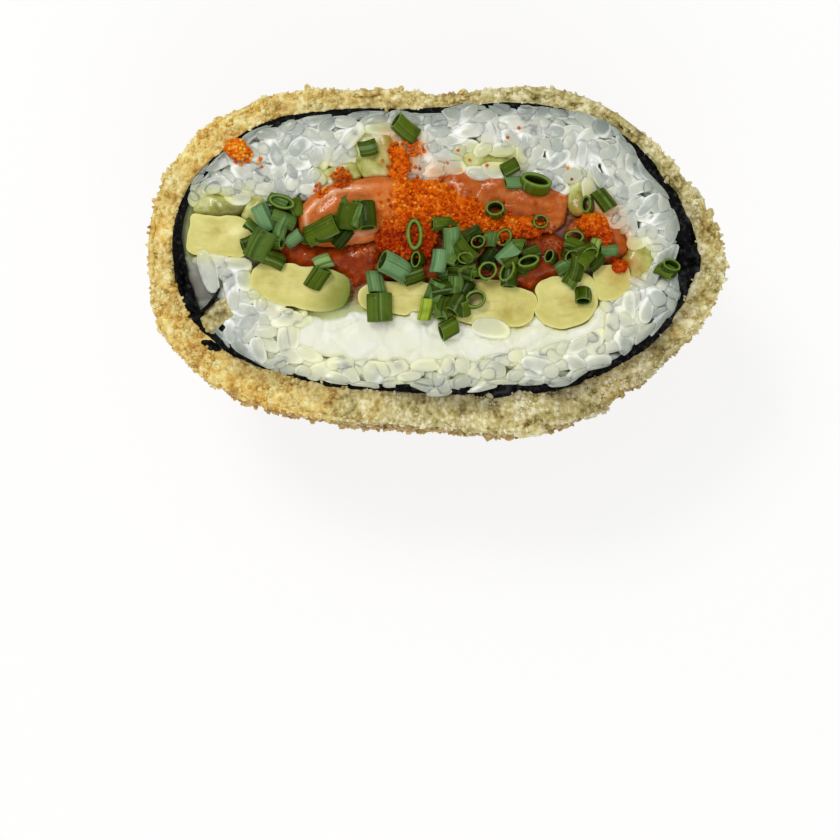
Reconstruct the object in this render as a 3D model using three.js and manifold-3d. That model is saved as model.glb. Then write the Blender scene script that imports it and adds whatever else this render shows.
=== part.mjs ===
// Half of a fried sushi burger: two beds of rice round salmon, avocado, cucumber and cream cheese,
// wrapped in seaweed, coated in breadcrumbs and cut through the middle. The half stands on its
// rounded side with the cut face up, and fish roe lies on the cut.
//
// Millimetres. +X runs along the cut face, +Y from the lower bed of rice to the upper one, +Z up out
// of the cut. While it is made, the middle of the cut face is at (0, 0, 0) and the food lies below
// z = 0. At the end the whole is moved so that the origin is at the middle of its base.
import * as THREE from "three";
import { mergeVertices } from "three/addons/utils/BufferGeometryUtils.js";
import Module from "manifold-3d";

const wasm = await Module();
wasm.setup();

// ---- driving dimensions ------------------------------------------------------------------------

const CUT_HEIGHT = 57; // from the flat spot that it rests on up to the cut face
const GAP = 0.3; // between neighbouring pieces
const FAR = 200; // larger than anything here

// Radii from the middle of the cut face, anticlockwise from +X at even steps.
const COATING_OUTSIDE = [
  59.7, 53.8, 49.6, 45.9, 40.6, 35.2, 32.5, 35.9, 38.8, 47.6, 54.3, 58.9,
  59.3, 58.5, 52, 43.6, 38, 34.7, 34.1, 35.8, 39.7, 44.3, 48.3, 55.4,
];
const COATING_THICKNESS = [
  5.1, 3.8, 3, 4.3, 4.4, 2.8, 2.1, 4.5, 4, 6, 5.9, 6.5,
  5.6, 6.3, 9.3, 7.8, 7.6, 7, 6.9, 7.4, 8.3, 7.4, 4.9, 6,
];
const SEAWEED_THICKNESS = [
  4.3, 1.2, 0.9, 0.8, 0.8, 0.8, 0.7, 0.7, 0.8, 0.9, 1, 1,
  2.4, 1.2, 0.9, 0.8, 0.8, 0.8, 0.8, 0.8, 0.9, 1.1, 1.3, 1.2,
];
const FILLING_EDGE = [
  40, 35, 28, 22, 18.5, 17, 16.5, 17, 18.5, 21, 26, 38,
  41, 30, 28, 24, 21.5, 20, 19, 19, 20, 22.5, 30, 34,
];
const FILLING_DEPTH = 0.88; // how far down the filling goes, as a share of the rice

const SWELL = 2; // how much the underside of the burger bulges just below the cut
const SWELL_DEPTH = 14;
const LUMP = 0.45; // unevenness of the coating

// What fills the middle, in the order in which each is cut clear of those before it. A slice is a
// rounded bar: centre x and y, half length, half width, turn in degrees, squareness of its corners,
// and how far its ends rise above its middle.
const AVOCADO = {
  avocado_1: [-45, 4.6, 7.1, 4.2, -3, 3.2, 0],
  avocado_2: [-28, -5.7, 10.5, 4.2, -9, 2.8, 0.6],
  avocado_3: [-7, -7.8, 8.8, 3.1, -1, 3.6, 0],
  avocado_4: [10.6, -8.9, 9.3, 4.4, -8, 3.4, 0],
  avocado_5: [26, -8.3, 6.6, 5.1, 16, 3, 0],
  avocado_6: [35.3, -4.5, 4, 3.4, 10, 3.2, 0],
};
const SALMON = {
  salmon_upper_left: [-14.9, 10.1, 13.8, 6.3, 9, 2.8, -1.4],
  salmon_upper_right: [12.1, 11.4, 14.4, 5.6, -4, 3.6, 0],
  salmon_lower_left: [-22.6, 3.4, 11.2, 9.6, -10, 2.6, 0],
  salmon_lower_middle: [-5, 0.4, 8.6, 6.8, -4, 3, 0],
  salmon_lower_right: [14.6, 0.2, 12.4, 6.6, -2, 3, -0.6],
  salmon_right: [32.6, 4, 6.4, 4.4, -10, 2.6, 0],
};
const CUCUMBER = {
  cucumber_1: [-45.2, 10.8, 6, 2.3, -6, 2.6, 0],
  cucumber_2: [-37.3, 9.6, 2.6, 3.8, 10, 2.4, 0],
  cucumber_3: [-12.2, 21.2, 4.4, 5.2, 20, 2.6, 0],
  cucumber_4: [-18.4, 18, 5, 1.8, 12, 2.8, 0],
  cucumber_5: [10.6, 20.2, 6.2, 1.9, -5, 3, 0],
  cucumber_6: [28.7, 12.8, 2.2, 4.2, 4, 2.6, 0],
  cucumber_7: [40.6, -0.3, 3.5, 3.7, 0, 2.4, 0],
};
const CREAM_CHEESE = [3, -16, 32, 5.2, 4, 3.2, 2.6];

// A pocket at the left with a loose crumb of coating in it, and the loose end of the seaweed.
const LOOSE_CRUMB = [-45.7, -12.2, 4.7, 3, 28, 3, 0];
const SEAWEED_FLAP = [-45.8, -8.4, 4.6, 0.5, 38, 6, -0.6];
const POCKET = [-47.8, -4, 2.6, 4.4, 0, 2.6, 0];
const CRUMB_DEPTH = 12;
const POCKET_DEPTH = 5;

// Heaps that lie on the cut. Each is a few flat mounds: x, y, half length, half width and height.
const ROE = {
  roe_heap: [
    [-3.6, 11.4, 10.2, 5.6, 1.7],
    [-6.2, 4.6, 7, 5.6, 1.7],
    [12.4, 6.6, 12, 3.4, 1.6],
    [4.4, 9.4, 6, 4.4, 1.5],
    [-7.2, 17.8, 2.6, 3, 1.9],
    [-7.6, 21.6, 2.8, 2.6, 2.2],
  ],
  roe_clump_left: [[-40.9, 22.4, 2.5, 2.4, 3]],
  roe_clump_right: [
    [31.6, 6.8, 3.4, 3, 2],
    [34, 4.4, 2.4, 2.2, 1.6],
  ],
  roe_clump_low: [[37, -1.6, 1.8, 1.6, 1.9]],
};
const CHIVES = {
  chives_left: [
    [-34.4, 4, 3.8, 5.6, 3],
    [-32, 9.6, 3.6, 2.6, 2.4],
  ],
  chives_upper: [
    [-16.2, 7.4, 5.6, 4.2, 2.8],
    [-22.6, 5.6, 4.6, 2.6, 2.2],
  ],
  chives_middle: [
    [9.4, 0, 9.6, 5.2, 2.8],
    [3.4, -8.2, 5.6, 4, 2.6],
  ],
  chives_right: [[29.2, -0.4, 3.6, 5.2, 2.8]],
};

const COLOURS = {
  coating: [0xd2b06a, 0.9],
  seaweed: [0x14161a, 0.45],
  rice: [0xe6e8dc, 0.5],
  cream_cheese: [0xf2f2e2, 0.4],
  salmon: [0xd07a4c, 0.3],
  avocado: [0xdcd488, 0.5],
  cucumber: [0xc4c68a, 0.35],
  roe: [0xe06a1c, 0.2],
  chives: [0x4f7a3a, 0.4],
};

// ---- solids ------------------------------------------------------------------------------------

// A closed mesh as a solid that can be joined and cut.
function solidOf(geometry) {
  const bare = geometry.index ? geometry.toNonIndexed() : geometry.clone();
  bare.deleteAttribute("normal");
  bare.deleteAttribute("uv");
  const merged = mergeVertices(bare, 1e-3);
  return new wasm.Manifold(
    new wasm.Mesh({
      numProp: 3,
      vertProperties: merged.attributes.position.array,
      triVerts: new Uint32Array(merged.index.array),
    }),
  );
}

function geometryOf(solid) {
  const mesh = solid.getMesh();
  const geometry = new THREE.BufferGeometry();
  geometry.setAttribute("position", new THREE.BufferAttribute(mesh.vertProperties, 3));
  geometry.setIndex(new THREE.BufferAttribute(mesh.triVerts, 1));
  geometry.computeVertexNormals();
  return geometry;
}

// A box between two corners.
function block(low, high) {
  const size = high.map((h, i) => h - low[i]);
  const middle = high.map((h, i) => (h + low[i]) / 2);
  return solidOf(new THREE.BoxGeometry(...size).translate(...middle));
}

const union = (solids) => solids.reduce((all, next) => all.add(next));
const belowCut = block([-FAR, -FAR, -FAR], [FAR, FAR, 0]);

// The value at an angle, in degrees, of numbers given at even steps round a circle: a smooth curve.
function roundTheCircle(values, degrees) {
  const count = values.length;
  const place = (((degrees % 360) + 360) % 360) / (360 / count);
  const at = Math.floor(place);
  const t = place - at;
  const [a, b, c, d] = [-1, 0, 1, 2].map((k) => values[(at + k + count) % count]);
  const slope = (c - a) / 2;
  const nextSlope = (d - b) / 2;
  const bend = 3 * (c - b) - 2 * slope - nextSlope;
  const twist = 2 * (b - c) + slope + nextSlope;
  return b + t * (slope + t * (bend + t * twist));
}

// ---- the burger's nested skins -----------------------------------------------------------------

const RINGS = 20;
const SEGMENTS = 42;

// A slow unevenness of the coating in a given direction, from -1 to 1.
function unevenness(direction) {
  const { x, y, z } = direction;
  const waves = Math.sin(9 * x + 4 * z) + Math.sin(11 * y - 5 * x + 1) + Math.sin(8 * z + 7 * y + 2);
  return waves / 3;
}

// The whole uncut burger, turned about Y. The cut face's right and left edges are the profiles at
// either end of the turn, and they blend into each other in between. radiusAt gives the distance
// from the middle at an angle in the cut face.
function burger(radiusAt, { lump = 0, depth = 1 } = {}) {
  const geometry = new THREE.SphereGeometry(1, SEGMENTS, RINGS);
  const points = geometry.attributes.position;
  const p = new THREE.Vector3();
  for (let i = 0; i < points.count; i++) {
    p.fromBufferAttribute(points, i).normalize();
    const rise = THREE.MathUtils.radToDeg(Math.asin(THREE.MathUtils.clamp(p.y, -1, 1)));
    const across = Math.hypot(p.x, p.z);
    const rightness = across > 1e-6 ? THREE.MathUtils.smoothstep(p.x / across, -1, 1) : 0.5;
    const radius = THREE.MathUtils.lerp(radiusAt(180 - rise), radiusAt(rise), rightness);
    const uneven = lump * unevenness(p);
    p.multiplyScalar(radius + uneven);
    const swell = SWELL * THREE.MathUtils.smoothstep(-p.z, 0, SWELL_DEPTH);
    p.y += swell * Math.min(0, p.y / coatingOutside(270));
    points.setXYZ(i, p.x, p.y, p.z * depth);
  }
  return solidOf(geometry);
}

const coatingOutside = (angle) => roundTheCircle(COATING_OUTSIDE, angle);
const coatingInside = (angle) => coatingOutside(angle) - roundTheCircle(COATING_THICKNESS, angle);
const seaweedOutside = (angle) => coatingInside(angle) - GAP;
const seaweedInside = (angle) => seaweedOutside(angle) - roundTheCircle(SEAWEED_THICKNESS, angle);
const riceOutside = (angle) => seaweedInside(angle) - GAP;

// ---- slices ------------------------------------------------------------------------------------

const SLICE_POINTS = 22;

// A slice's outline: a rounded bar, grown by so much all round.
function sliceShape([x, y, halfLength, halfWidth, turn, squareness, ends], grow = 0) {
  const points = [];
  for (let i = 0; i < SLICE_POINTS; i++) {
    const a = (2 * Math.PI * i) / SLICE_POINTS;
    const power = 2 / squareness;
    const u = Math.sign(Math.cos(a)) * Math.abs(Math.cos(a)) ** power;
    const v = Math.sign(Math.sin(a)) * Math.abs(Math.sin(a)) ** power;
    const p = new THREE.Vector2((halfLength + grow) * u, (halfWidth + grow) * v + ends * u * u);
    p.rotateAround(new THREE.Vector2(), THREE.MathUtils.degToRad(turn));
    points.push(p.add(new THREE.Vector2(x, y)));
  }
  return new THREE.Shape(points);
}

// A shape in the cut face, run down to so far below it, from the cut face or a little above.
function runDown(shape, depth, above = 0) {
  const geometry = new THREE.ExtrudeGeometry(shape, { depth: depth + above, bevelEnabled: false });
  return solidOf(geometry.translate(0, 0, -depth));
}

// The outline in the cut of the middle, where the slices lie side by side with no rice between.
function fillingOutline() {
  const points = [];
  const count = 2 * FILLING_EDGE.length;
  for (let i = 0; i < count; i++) {
    const angle = (360 * i) / count;
    const radius = roundTheCircle(FILLING_EDGE, angle);
    const a = THREE.MathUtils.degToRad(angle);
    points.push(new THREE.Vector2(radius * Math.cos(a), radius * Math.sin(a)));
  }
  return new THREE.Shape(points);
}

// ---- the pieces --------------------------------------------------------------------------------

// Moves a piece's geometry to its own middle and puts the mesh there.
function piece(name, look, solid) {
  const [colour, roughness] = COLOURS[look];
  const geometry = geometryOf(solid);
  geometry.computeBoundingBox();
  const middle = geometry.boundingBox.getCenter(new THREE.Vector3());
  geometry.translate(-middle.x, -middle.y, -middle.z);
  const material = new THREE.MeshStandardMaterial({ color: colour, roughness, metalness: 0 });
  const mesh = new THREE.Mesh(geometry, material);
  mesh.name = name;
  mesh.position.copy(middle);
  return mesh;
}

function coating() {
  const standing = block([-FAR, -FAR, -CUT_HEIGHT], [FAR, FAR, 0]);
  const shell = burger(coatingOutside, { lump: LUMP }).subtract(burger(coatingInside));
  return piece("coating", "coating", shell.intersect(standing));
}

const inside = burger(riceOutside).intersect(belowCut);
const flap = runDown(sliceShape(SEAWEED_FLAP), CRUMB_DEPTH);
const flapCutter = runDown(sliceShape(SEAWEED_FLAP, GAP), CRUMB_DEPTH + GAP, 1);
const crumbCutter = runDown(sliceShape(LOOSE_CRUMB, GAP), CRUMB_DEPTH + GAP, 1);

function seaweed() {
  const shell = burger(seaweedOutside).subtract(burger(seaweedInside)).intersect(belowCut);
  const sheet = shell.add(flap.intersect(burger(seaweedOutside)));
  return piece("seaweed", "seaweed", sheet);
}

function looseCrumb() {
  const crumb = runDown(sliceShape(LOOSE_CRUMB), CRUMB_DEPTH).intersect(inside);
  return piece("loose_crumb", "coating", crumb.subtract(flapCutter));
}

// Of a solid that fell apart, the largest part.
function largest(solid) {
  return solid.decompose().reduce((a, b) => (a.volume() > b.volume() ? a : b));
}

// The slices run down through the filling's space. Each is cut clear of those already there.
const slices = [
  ...Object.entries(AVOCADO).map(([name, size]) => [name, "avocado", size]),
  ...Object.entries(SALMON).map(([name, size]) => [name, "salmon", size]),
  ...Object.entries(CUCUMBER).map(([name, size]) => [name, "cucumber", size]),
  ["cream_cheese", "cream_cheese", CREAM_CHEESE],
];
const fillingBottom = burger(riceOutside, { depth: FILLING_DEPTH });
const sliceCutters = slices.map(([, , size]) => runDown(sliceShape(size, GAP), FAR, 1));

function filling() {
  const space = fillingBottom.intersect(belowCut);
  return slices.map(([name, look, size], i) => {
    let slice = runDown(sliceShape(size), FAR).intersect(space);
    if (i > 0) slice = slice.subtract(union(sliceCutters.slice(0, i)));
    return piece(name, look, largest(slice));
  });
}

// The two beds of rice: all that is inside the seaweed and outside the filling, parted where the
// beds meet at the ends and under the filling.
function riceBeds() {
  const below = burger((angle) => riceOutside(angle) + GAP, { depth: FILLING_DEPTH });
  const fillingCutter = union([runDown(fillingOutline(), FAR, 1), ...sliceCutters]).intersect(below);
  const pocketCutter = runDown(sliceShape(POCKET), POCKET_DEPTH, 1);
  const cutters = union([fillingCutter, pocketCutter, crumbCutter, flapCutter]);
  const rice = inside.subtract(cutters);
  const upper = rice.intersect(block([-FAR, GAP / 2, -FAR], [FAR, FAR, FAR]));
  const lower = rice.intersect(block([-FAR, -FAR, -FAR], [FAR, -GAP / 2, FAR]));
  return [piece("rice_upper", "rice", largest(upper)), piece("rice_lower", "rice", largest(lower))];
}

const HEAP_SEGMENTS = 12;

// A heap of small things: flat mounds that run into each other, from just above the cut.
function heap(mounds, grow = 0) {
  const solids = mounds.map(([x, y, halfLength, halfWidth, height]) => {
    const mound = new THREE.SphereGeometry(1, HEAP_SEGMENTS, HEAP_SEGMENTS / 2);
    mound.rotateX(Math.PI / 2).scale(halfLength + grow, halfWidth + grow, height + grow);
    return solidOf(mound.translate(x, y, GAP));
  });
  return union(solids).intersect(block([-FAR, -FAR, GAP], [FAR, FAR, FAR]));
}

// The chives lie beside the roe.
function heaps() {
  const roe = Object.entries(ROE).map(([name, mounds]) => piece(name, "roe", heap(mounds)));
  const clearOfRoe = union(Object.values(ROE).map((mounds) => heap(mounds, GAP)));
  const chives = Object.entries(CHIVES).map(([name, mounds]) =>
    piece(name, "chives", largest(heap(mounds).subtract(clearOfRoe))),
  );
  return [...roe, ...chives];
}

const wrapper = new THREE.Group();
wrapper.add(coating(), seaweed(), looseCrumb());

const beds = new THREE.Group();
beds.add(...riceBeds());

const middle = new THREE.Group();
middle.add(...filling());

const topping = new THREE.Group();
topping.add(...heaps());

const half = new THREE.Group();
half.add(wrapper, beds, middle, topping);

// The origin goes to the middle of the base.
const outside = new THREE.Box3().setFromObject(half, true);
const base = outside.getCenter(new THREE.Vector3());
half.position.set(-base.x, -base.y, -outside.min.z);

export default half;
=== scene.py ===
"""Half a fried sushi burger, cut face up: real grains, eggs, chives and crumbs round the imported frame.

Sizes are in millimetres, and meshes are made in metres. The row frame has +X along the cut face, +Y
from the lower bed of rice to the upper one, and +Z up out of the cut.
"""

import math

import bmesh
import bpy
import numpy as np
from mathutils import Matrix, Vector
from mathutils.bvhtree import BVHTree
from mathutils.geometry import delaunay_2d_cdt


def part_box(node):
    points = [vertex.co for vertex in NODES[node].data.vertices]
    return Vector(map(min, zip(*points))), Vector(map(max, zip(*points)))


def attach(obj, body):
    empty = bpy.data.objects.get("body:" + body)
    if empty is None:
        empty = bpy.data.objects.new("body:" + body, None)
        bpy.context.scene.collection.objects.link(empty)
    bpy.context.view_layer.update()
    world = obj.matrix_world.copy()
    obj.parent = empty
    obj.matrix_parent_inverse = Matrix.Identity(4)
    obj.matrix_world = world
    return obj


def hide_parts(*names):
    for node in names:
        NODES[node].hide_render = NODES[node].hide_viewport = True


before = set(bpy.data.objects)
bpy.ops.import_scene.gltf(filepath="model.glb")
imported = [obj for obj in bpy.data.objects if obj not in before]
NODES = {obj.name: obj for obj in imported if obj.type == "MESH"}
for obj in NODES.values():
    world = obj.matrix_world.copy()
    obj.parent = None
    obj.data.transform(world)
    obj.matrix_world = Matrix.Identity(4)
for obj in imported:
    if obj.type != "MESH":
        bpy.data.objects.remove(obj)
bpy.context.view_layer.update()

MM = 0.001
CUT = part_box("coating")[1].z / MM  # height of the cut face
MIDDLE = np.array(sum(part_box("seaweed"), Vector()) / 2 / MM)[:2]  # of what the seaweed wraps
rng = np.random.default_rng(11)


def named(start):
    """The CAD nodes whose names start so."""
    return sorted(name for name in NODES if name.startswith(start))


GREENS = [*named("avocado"), *named("cucumber")]


# ---- reading the frame ----


def tree_of(*names):
    """The CAD nodes' surfaces, for casting rays at, in millimetres."""
    points, faces = [], []
    for name in names:
        mesh = NODES[name].data
        start = len(points)
        points += [v.co / MM for v in mesh.vertices]
        faces += [[start + i for i in p.vertices] for p in mesh.polygons]
    return BVHTree.FromPolygons(points, faces)


FAR = 200.0  # well outside the part
DOWN = Vector((0, 0, -1))
TOUCH = 0.05  # a hair below the cut, where a ray along it still meets the walls


def box_of(node):
    """The lowest and highest corner of a CAD node's box."""
    return [np.array(corner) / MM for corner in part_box(node)]


def heights_under(tree, places):
    """How high a surface is at each place, or NaN where there is none."""
    hits = [tree.ray_cast(Vector((x, y, CUT + FAR)), DOWN)[0] for x, y in places]
    return np.array([math.nan if hit is None else hit.z for hit in hits])


def radius_at(tree, azimuth, dip, outward):
    """From the middle of the cut face to a shell's near wall, or to its far wall from outside."""
    level = math.cos(dip)
    ray = Vector((math.cos(azimuth) * level, math.sin(azimuth) * level, -math.sin(dip)))
    middle = Vector((0, 0, CUT - TOUCH))
    hit = tree.ray_cast(middle, ray) if outward else tree.ray_cast(middle + ray * FAR, -ray)
    return (hit[0] - middle).length


def smooth_around(values, steps):
    """Values round a ring, evened out over so many steps. The ring is the last axis."""
    reach = np.arange(-3 * steps, 3 * steps + 1)
    weights = np.exp(-((reach / steps) ** 2) / 2)
    weights /= weights.sum()
    return sum(w * np.roll(values, k, axis=-1) for w, k in zip(weights, reach))


def azimuths_of(count):
    """That many azimuths, evenly all round."""
    return np.arange(count) * 2 * math.pi / count


def way(azimuths):
    """The level direction at each azimuth."""
    return np.stack([np.cos(azimuths), np.sin(azimuths)], -1)


def polar(points):
    """The azimuth of each point about the middle of the frame, and how far out it is."""
    x, y = points[..., 0], points[..., 1]
    return np.arctan2(y, x) % (2 * math.pi), np.hypot(x, y)


AROUND = 420  # columns of the coating and the seaweed
AZIMUTHS = azimuths_of(AROUND)
FACET = 6  # columns over which the CAD shells' facets are evened out


def wall(name, outward):
    """Radii of a shell's wall in the cut, all round."""
    tree = tree_of(name)
    radii = np.array([radius_at(tree, a, 0, outward) for a in AZIMUTHS])
    return smooth_around(radii, FACET)


def swells(*places):
    """Smooth swells round the circle: each at an azimuth, over so many degrees either side, so high."""
    total = np.zeros(AROUND)
    for azimuth, half, height in places:
        away = np.abs((np.degrees(AZIMUTHS) - azimuth + 180) % 360 - 180) / half
        total += height * np.cos(np.minimum(away, 1) * math.pi / 2) ** 2
    return total


# The seaweed lies a little further out in places, and the rice over it or short of it.
SEAWEED_OUTWARDS = swells((168, 14, 0.8), (293, 12, 1.0))
RICE_OUTWARDS = swells(
    (24, 8, -1.2), (40, 14, 1.3), (56, 20, 0.4), (76, 12, 1.0), (105, 7, 0.7), (127, 12, -0.7),
    (147, 8, 0.8), (168, 18, 1.9), (214, 8, 0.5), (247, 8, 0.6), (268, 13, 1.4), (298, 14, -1.1),
    (316, 6, 0.5), (324, 8, -0.9), (336, 5, -0.4), (350, 6, 0.7), (0, 7, -1.8),
)
COATING_OUT = wall("coating", False)
COATING_IN = wall("coating", True) + SEAWEED_OUTWARDS
SEAWEED_OUT = wall("seaweed", False) + SEAWEED_OUTWARDS
SEAWEED_MOST = np.where(np.cos(AZIMUTHS) < 0, 2.0, 5)  # its wall's thickness, without its loose end's
SEAWEED_IN = np.maximum(wall("seaweed", True), SEAWEED_OUT - SEAWEED_MOST) + RICE_OUTWARDS


def cut_outline(name, spacing):
    """A CAD node's outline in the cut face, anticlockwise, as evenly spaced points."""
    mesh = NODES[name].data
    key = [tuple(np.round(np.array(v.co) / MM, 3)) for v in mesh.vertices]
    onward = {}
    for face in mesh.polygons:
        ring = [key[i] for i in face.vertices]
        if all(corner[2] > CUT - TOUCH for corner in ring):
            onward.update(dict.fromkeys(zip(ring, ring[1:] + ring[:1])))
    rim = {a: b for a, b in onward if (b, a) not in onward}
    loops = []
    while rim:
        loop = [next(iter(rim))]
        while loop[-1] in rim:
            loop.append(rim.pop(loop[-1]))
        loops.append(np.array(loop)[:, :2])
    return even_loop(max(loops, key=len), spacing)


def even_loop(loop, spacing):
    """A closed run of points, which ends where it starts, as evenly spaced points."""
    steps = np.linalg.norm(np.diff(loop, axis=0), axis=1)
    along = np.concatenate([[0], np.cumsum(steps)])
    count = max(12, int(along[-1] / spacing))
    places = np.arange(count) * along[-1] / count
    points = np.stack([np.interp(places, along, loop[:, k]) for k in range(2)], -1)
    for _ in range(3):
        points = (np.roll(points, 1, 0) + 2 * points + np.roll(points, -1, 0)) / 4
    x, y = points.T
    area = np.sum(x * np.roll(y, -1) - y * np.roll(x, -1))
    return points if area > 0 else points[::-1]


# ---- a map of the cut face ----

MAP_STEP = 0.3
MAP_LOW = np.array([-63.0, -40.0])
MAP_SHAPE = (421, 267)
MAP_PLACES = MAP_LOW + np.stack(np.indices(MAP_SHAPE), -1) * MAP_STEP


def map_of(*names):
    """Where nodes show in the cut face or stand on it: 1 there and 0 elsewhere."""
    heights = heights_under(tree_of(*names), MAP_PLACES.reshape(-1, 2))
    return (heights > CUT - TOUCH).astype(float).reshape(MAP_SHAPE)


def nearness(shown, reach):
    """1 where nodes show, and less and less out to so many millimetres from them."""
    steps = int(reach / MAP_STEP)
    near = shown.copy()
    for di in range(-steps, steps + 1):
        for dj in range(-steps, steps + 1):
            away = math.hypot(di, dj) * MAP_STEP
            if away < reach:
                near = np.maximum(near, np.roll(shown, (di, dj), (0, 1)) * (1 - away / reach))
    return near


def read_map(values, points):
    """A map's value at each point."""
    cells = np.round((np.asarray(points)[..., :2] - MAP_LOW) / MAP_STEP).astype(int)
    cells = np.clip(cells, 0, np.array(MAP_SHAPE) - 1)
    return values[cells[..., 0], cells[..., 1]]


# ---- noise ----


def raised(flat, height):
    """Places in the cut face, given a height, or a height for each."""
    return np.column_stack([flat, np.broadcast_to(height, len(flat))])


def in_space(points):
    """Points with a third coordinate, which is 0 for places in the cut face."""
    return points if points.shape[-1] == 3 else raised(points, 0.0)


def lattice(cells, seed):
    """A number from 0 to 1 for each whole-number point, with no pattern to be seen."""
    x, y, z = (cells[..., k].astype(np.int64) for k in range(3))
    mixed = (x * 73856093) ^ (y * 19349663) ^ (z * 83492791) ^ (seed * 40503 + 977)
    mixed = (mixed ^ (mixed >> 13)) * 1274126177
    mixed ^= mixed >> 16
    return (mixed & 0xFFFF) / 0xFFFF


def lumps(points, size, seed):
    """Smooth noise from -1 to 1, with lumps of about that size."""
    places = in_space(points) / size
    cells = np.floor(places)
    t = places - cells
    t = t * t * (3 - 2 * t)
    total = 0
    for corner in np.ndindex(2, 2, 2):
        weight = np.prod(np.where(corner, t, 1 - t), axis=-1)
        total = total + weight * lattice(cells + corner, seed)
    return 2 * total - 1


def grains(points, size, seed):
    """Distance, in sizes, to the nearest and the next of points strewn one to a cell."""
    places = in_space(points) / size
    cells = np.floor(places)
    nearest = np.full(places.shape[:-1], 9.0)
    following = nearest.copy()
    for step in np.ndindex(3, 3, 3):
        there = cells + step - 1
        seeds = there + np.stack([lattice(there, seed + k) for k in range(3)], -1)
        distance = np.linalg.norm(places - seeds, axis=-1)
        following = np.minimum(following, np.maximum(nearest, distance))
        nearest = np.minimum(nearest, distance)
    return nearest, following


def shifts(points, size, seed):
    """Smooth noise from -1 to 1 for each coordinate of points."""
    return np.stack([lumps(points, size, seed + k) for k in range(points.shape[-1])], -1)


# ---- making meshes ----


def added(name, data):
    """A new object in the scene."""
    made = bpy.data.objects.new(name, data)
    bpy.context.scene.collection.objects.link(made)
    return made


def piece(name, points, faces, material, slot, replaces=(), **values):
    """A mesh that rides on the part. values are numbers for each point, which materials read."""
    mesh = bpy.data.meshes.new(name)
    mesh.vertices.add(points.size // 3)
    mesh.vertices.foreach_set("co", (points * MM).ravel())
    mesh.loops.add(faces.size)
    mesh.loops.foreach_set("vertex_index", faces.ravel())
    mesh.polygons.add(len(faces))
    mesh.polygons.foreach_set("loop_start", np.arange(0, faces.size, 3))
    mesh.polygons.foreach_set("use_smooth", np.full(len(faces), True))
    mesh.update(calc_edges=True)
    for key, numbers in values.items():
        layer = mesh.attributes.new(key, "FLOAT", "POINT")
        layer.data.foreach_set("value", np.ravel(numbers).astype(float))
    mesh.materials.append(material)
    made = added(name, mesh)
    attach(made, "root")
    if replaces:
        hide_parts(*replaces)


def halved(quads):
    """Two triangles for each four-sided face."""
    return np.concatenate([quads[:, [0, 1, 2]], quads[:, [0, 2, 3]]])


def grid_faces(rows, columns):
    """Triangles of a grid whose columns go right round."""
    row = np.arange(rows - 1)[:, None] * columns
    here = np.arange(columns)[None, :]
    there = (here + 1) % columns
    quads = np.stack([row + here, row + columns + here, row + columns + there, row + there], -1)
    return halved(quads.reshape(-1, 4))


def fan(ring, centre):
    """Triangles from a ring of points to one point."""
    return np.stack([ring, np.roll(ring, -1), np.full(len(ring), centre)], -1)


def ball(detail):
    """Points and triangles of a ball of radius 1: detail 1 has 20 triangles, 2 has 80, 3 has 320."""
    made = bmesh.new()
    bmesh.ops.create_icosphere(made, subdivisions=detail, radius=1)
    points = np.array([v.co for v in made.verts])
    faces = np.array([[v.index for v in f.verts] for f in made.faces])
    made.free()
    return points, faces


def turns(count):
    """Rotation matrices, any way round."""
    yaw = rng.uniform(0, 2 * math.pi, count)
    pitch, roll = rng.uniform(-math.pi, math.pi, (2, count))
    return turn_matrices(yaw, pitch, roll)


def turn_matrices(yaw, pitch, roll):
    """Rolled about X, tipped about Y, then turned about Z."""
    yaw, pitch, roll = np.broadcast_arrays(*(np.atleast_1d(a).astype(float) for a in (yaw, pitch, roll)))
    zero, one = np.zeros_like(yaw), np.ones_like(yaw)
    cy, sy, cp, sp, cr, sr = (f(a) for a in (yaw, pitch, roll) for f in (np.cos, np.sin))
    about_z = np.array([[cy, -sy, zero], [sy, cy, zero], [zero, zero, one]])
    about_y = np.array([[cp, zero, sp], [zero, one, zero], [-sp, zero, cp]])
    about_x = np.array([[one, zero, zero], [zero, cr, -sr], [zero, sr, cr]])
    return np.einsum("ijn,jkn,kln->nil", about_z, about_y, about_x)


def strewn(shapes, faces, places, matrices):
    """Copies of a shape, one mesh: shapes is (n, points, 3), each turned and moved to its place."""
    points = np.einsum("nij,nvj->nvi", matrices, shapes) + places[:, None]
    count, size = points.shape[:2]
    all_faces = faces[None] + (np.arange(count) * size)[:, None, None]
    return points.reshape(-1, 3), all_faces.reshape(-1, faces.shape[1])


def for_each_point(numbers, shapes):
    """A number for each copy, repeated for each of its points."""
    return np.repeat(numbers, shapes.shape[1])


# ---- materials ----


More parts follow.
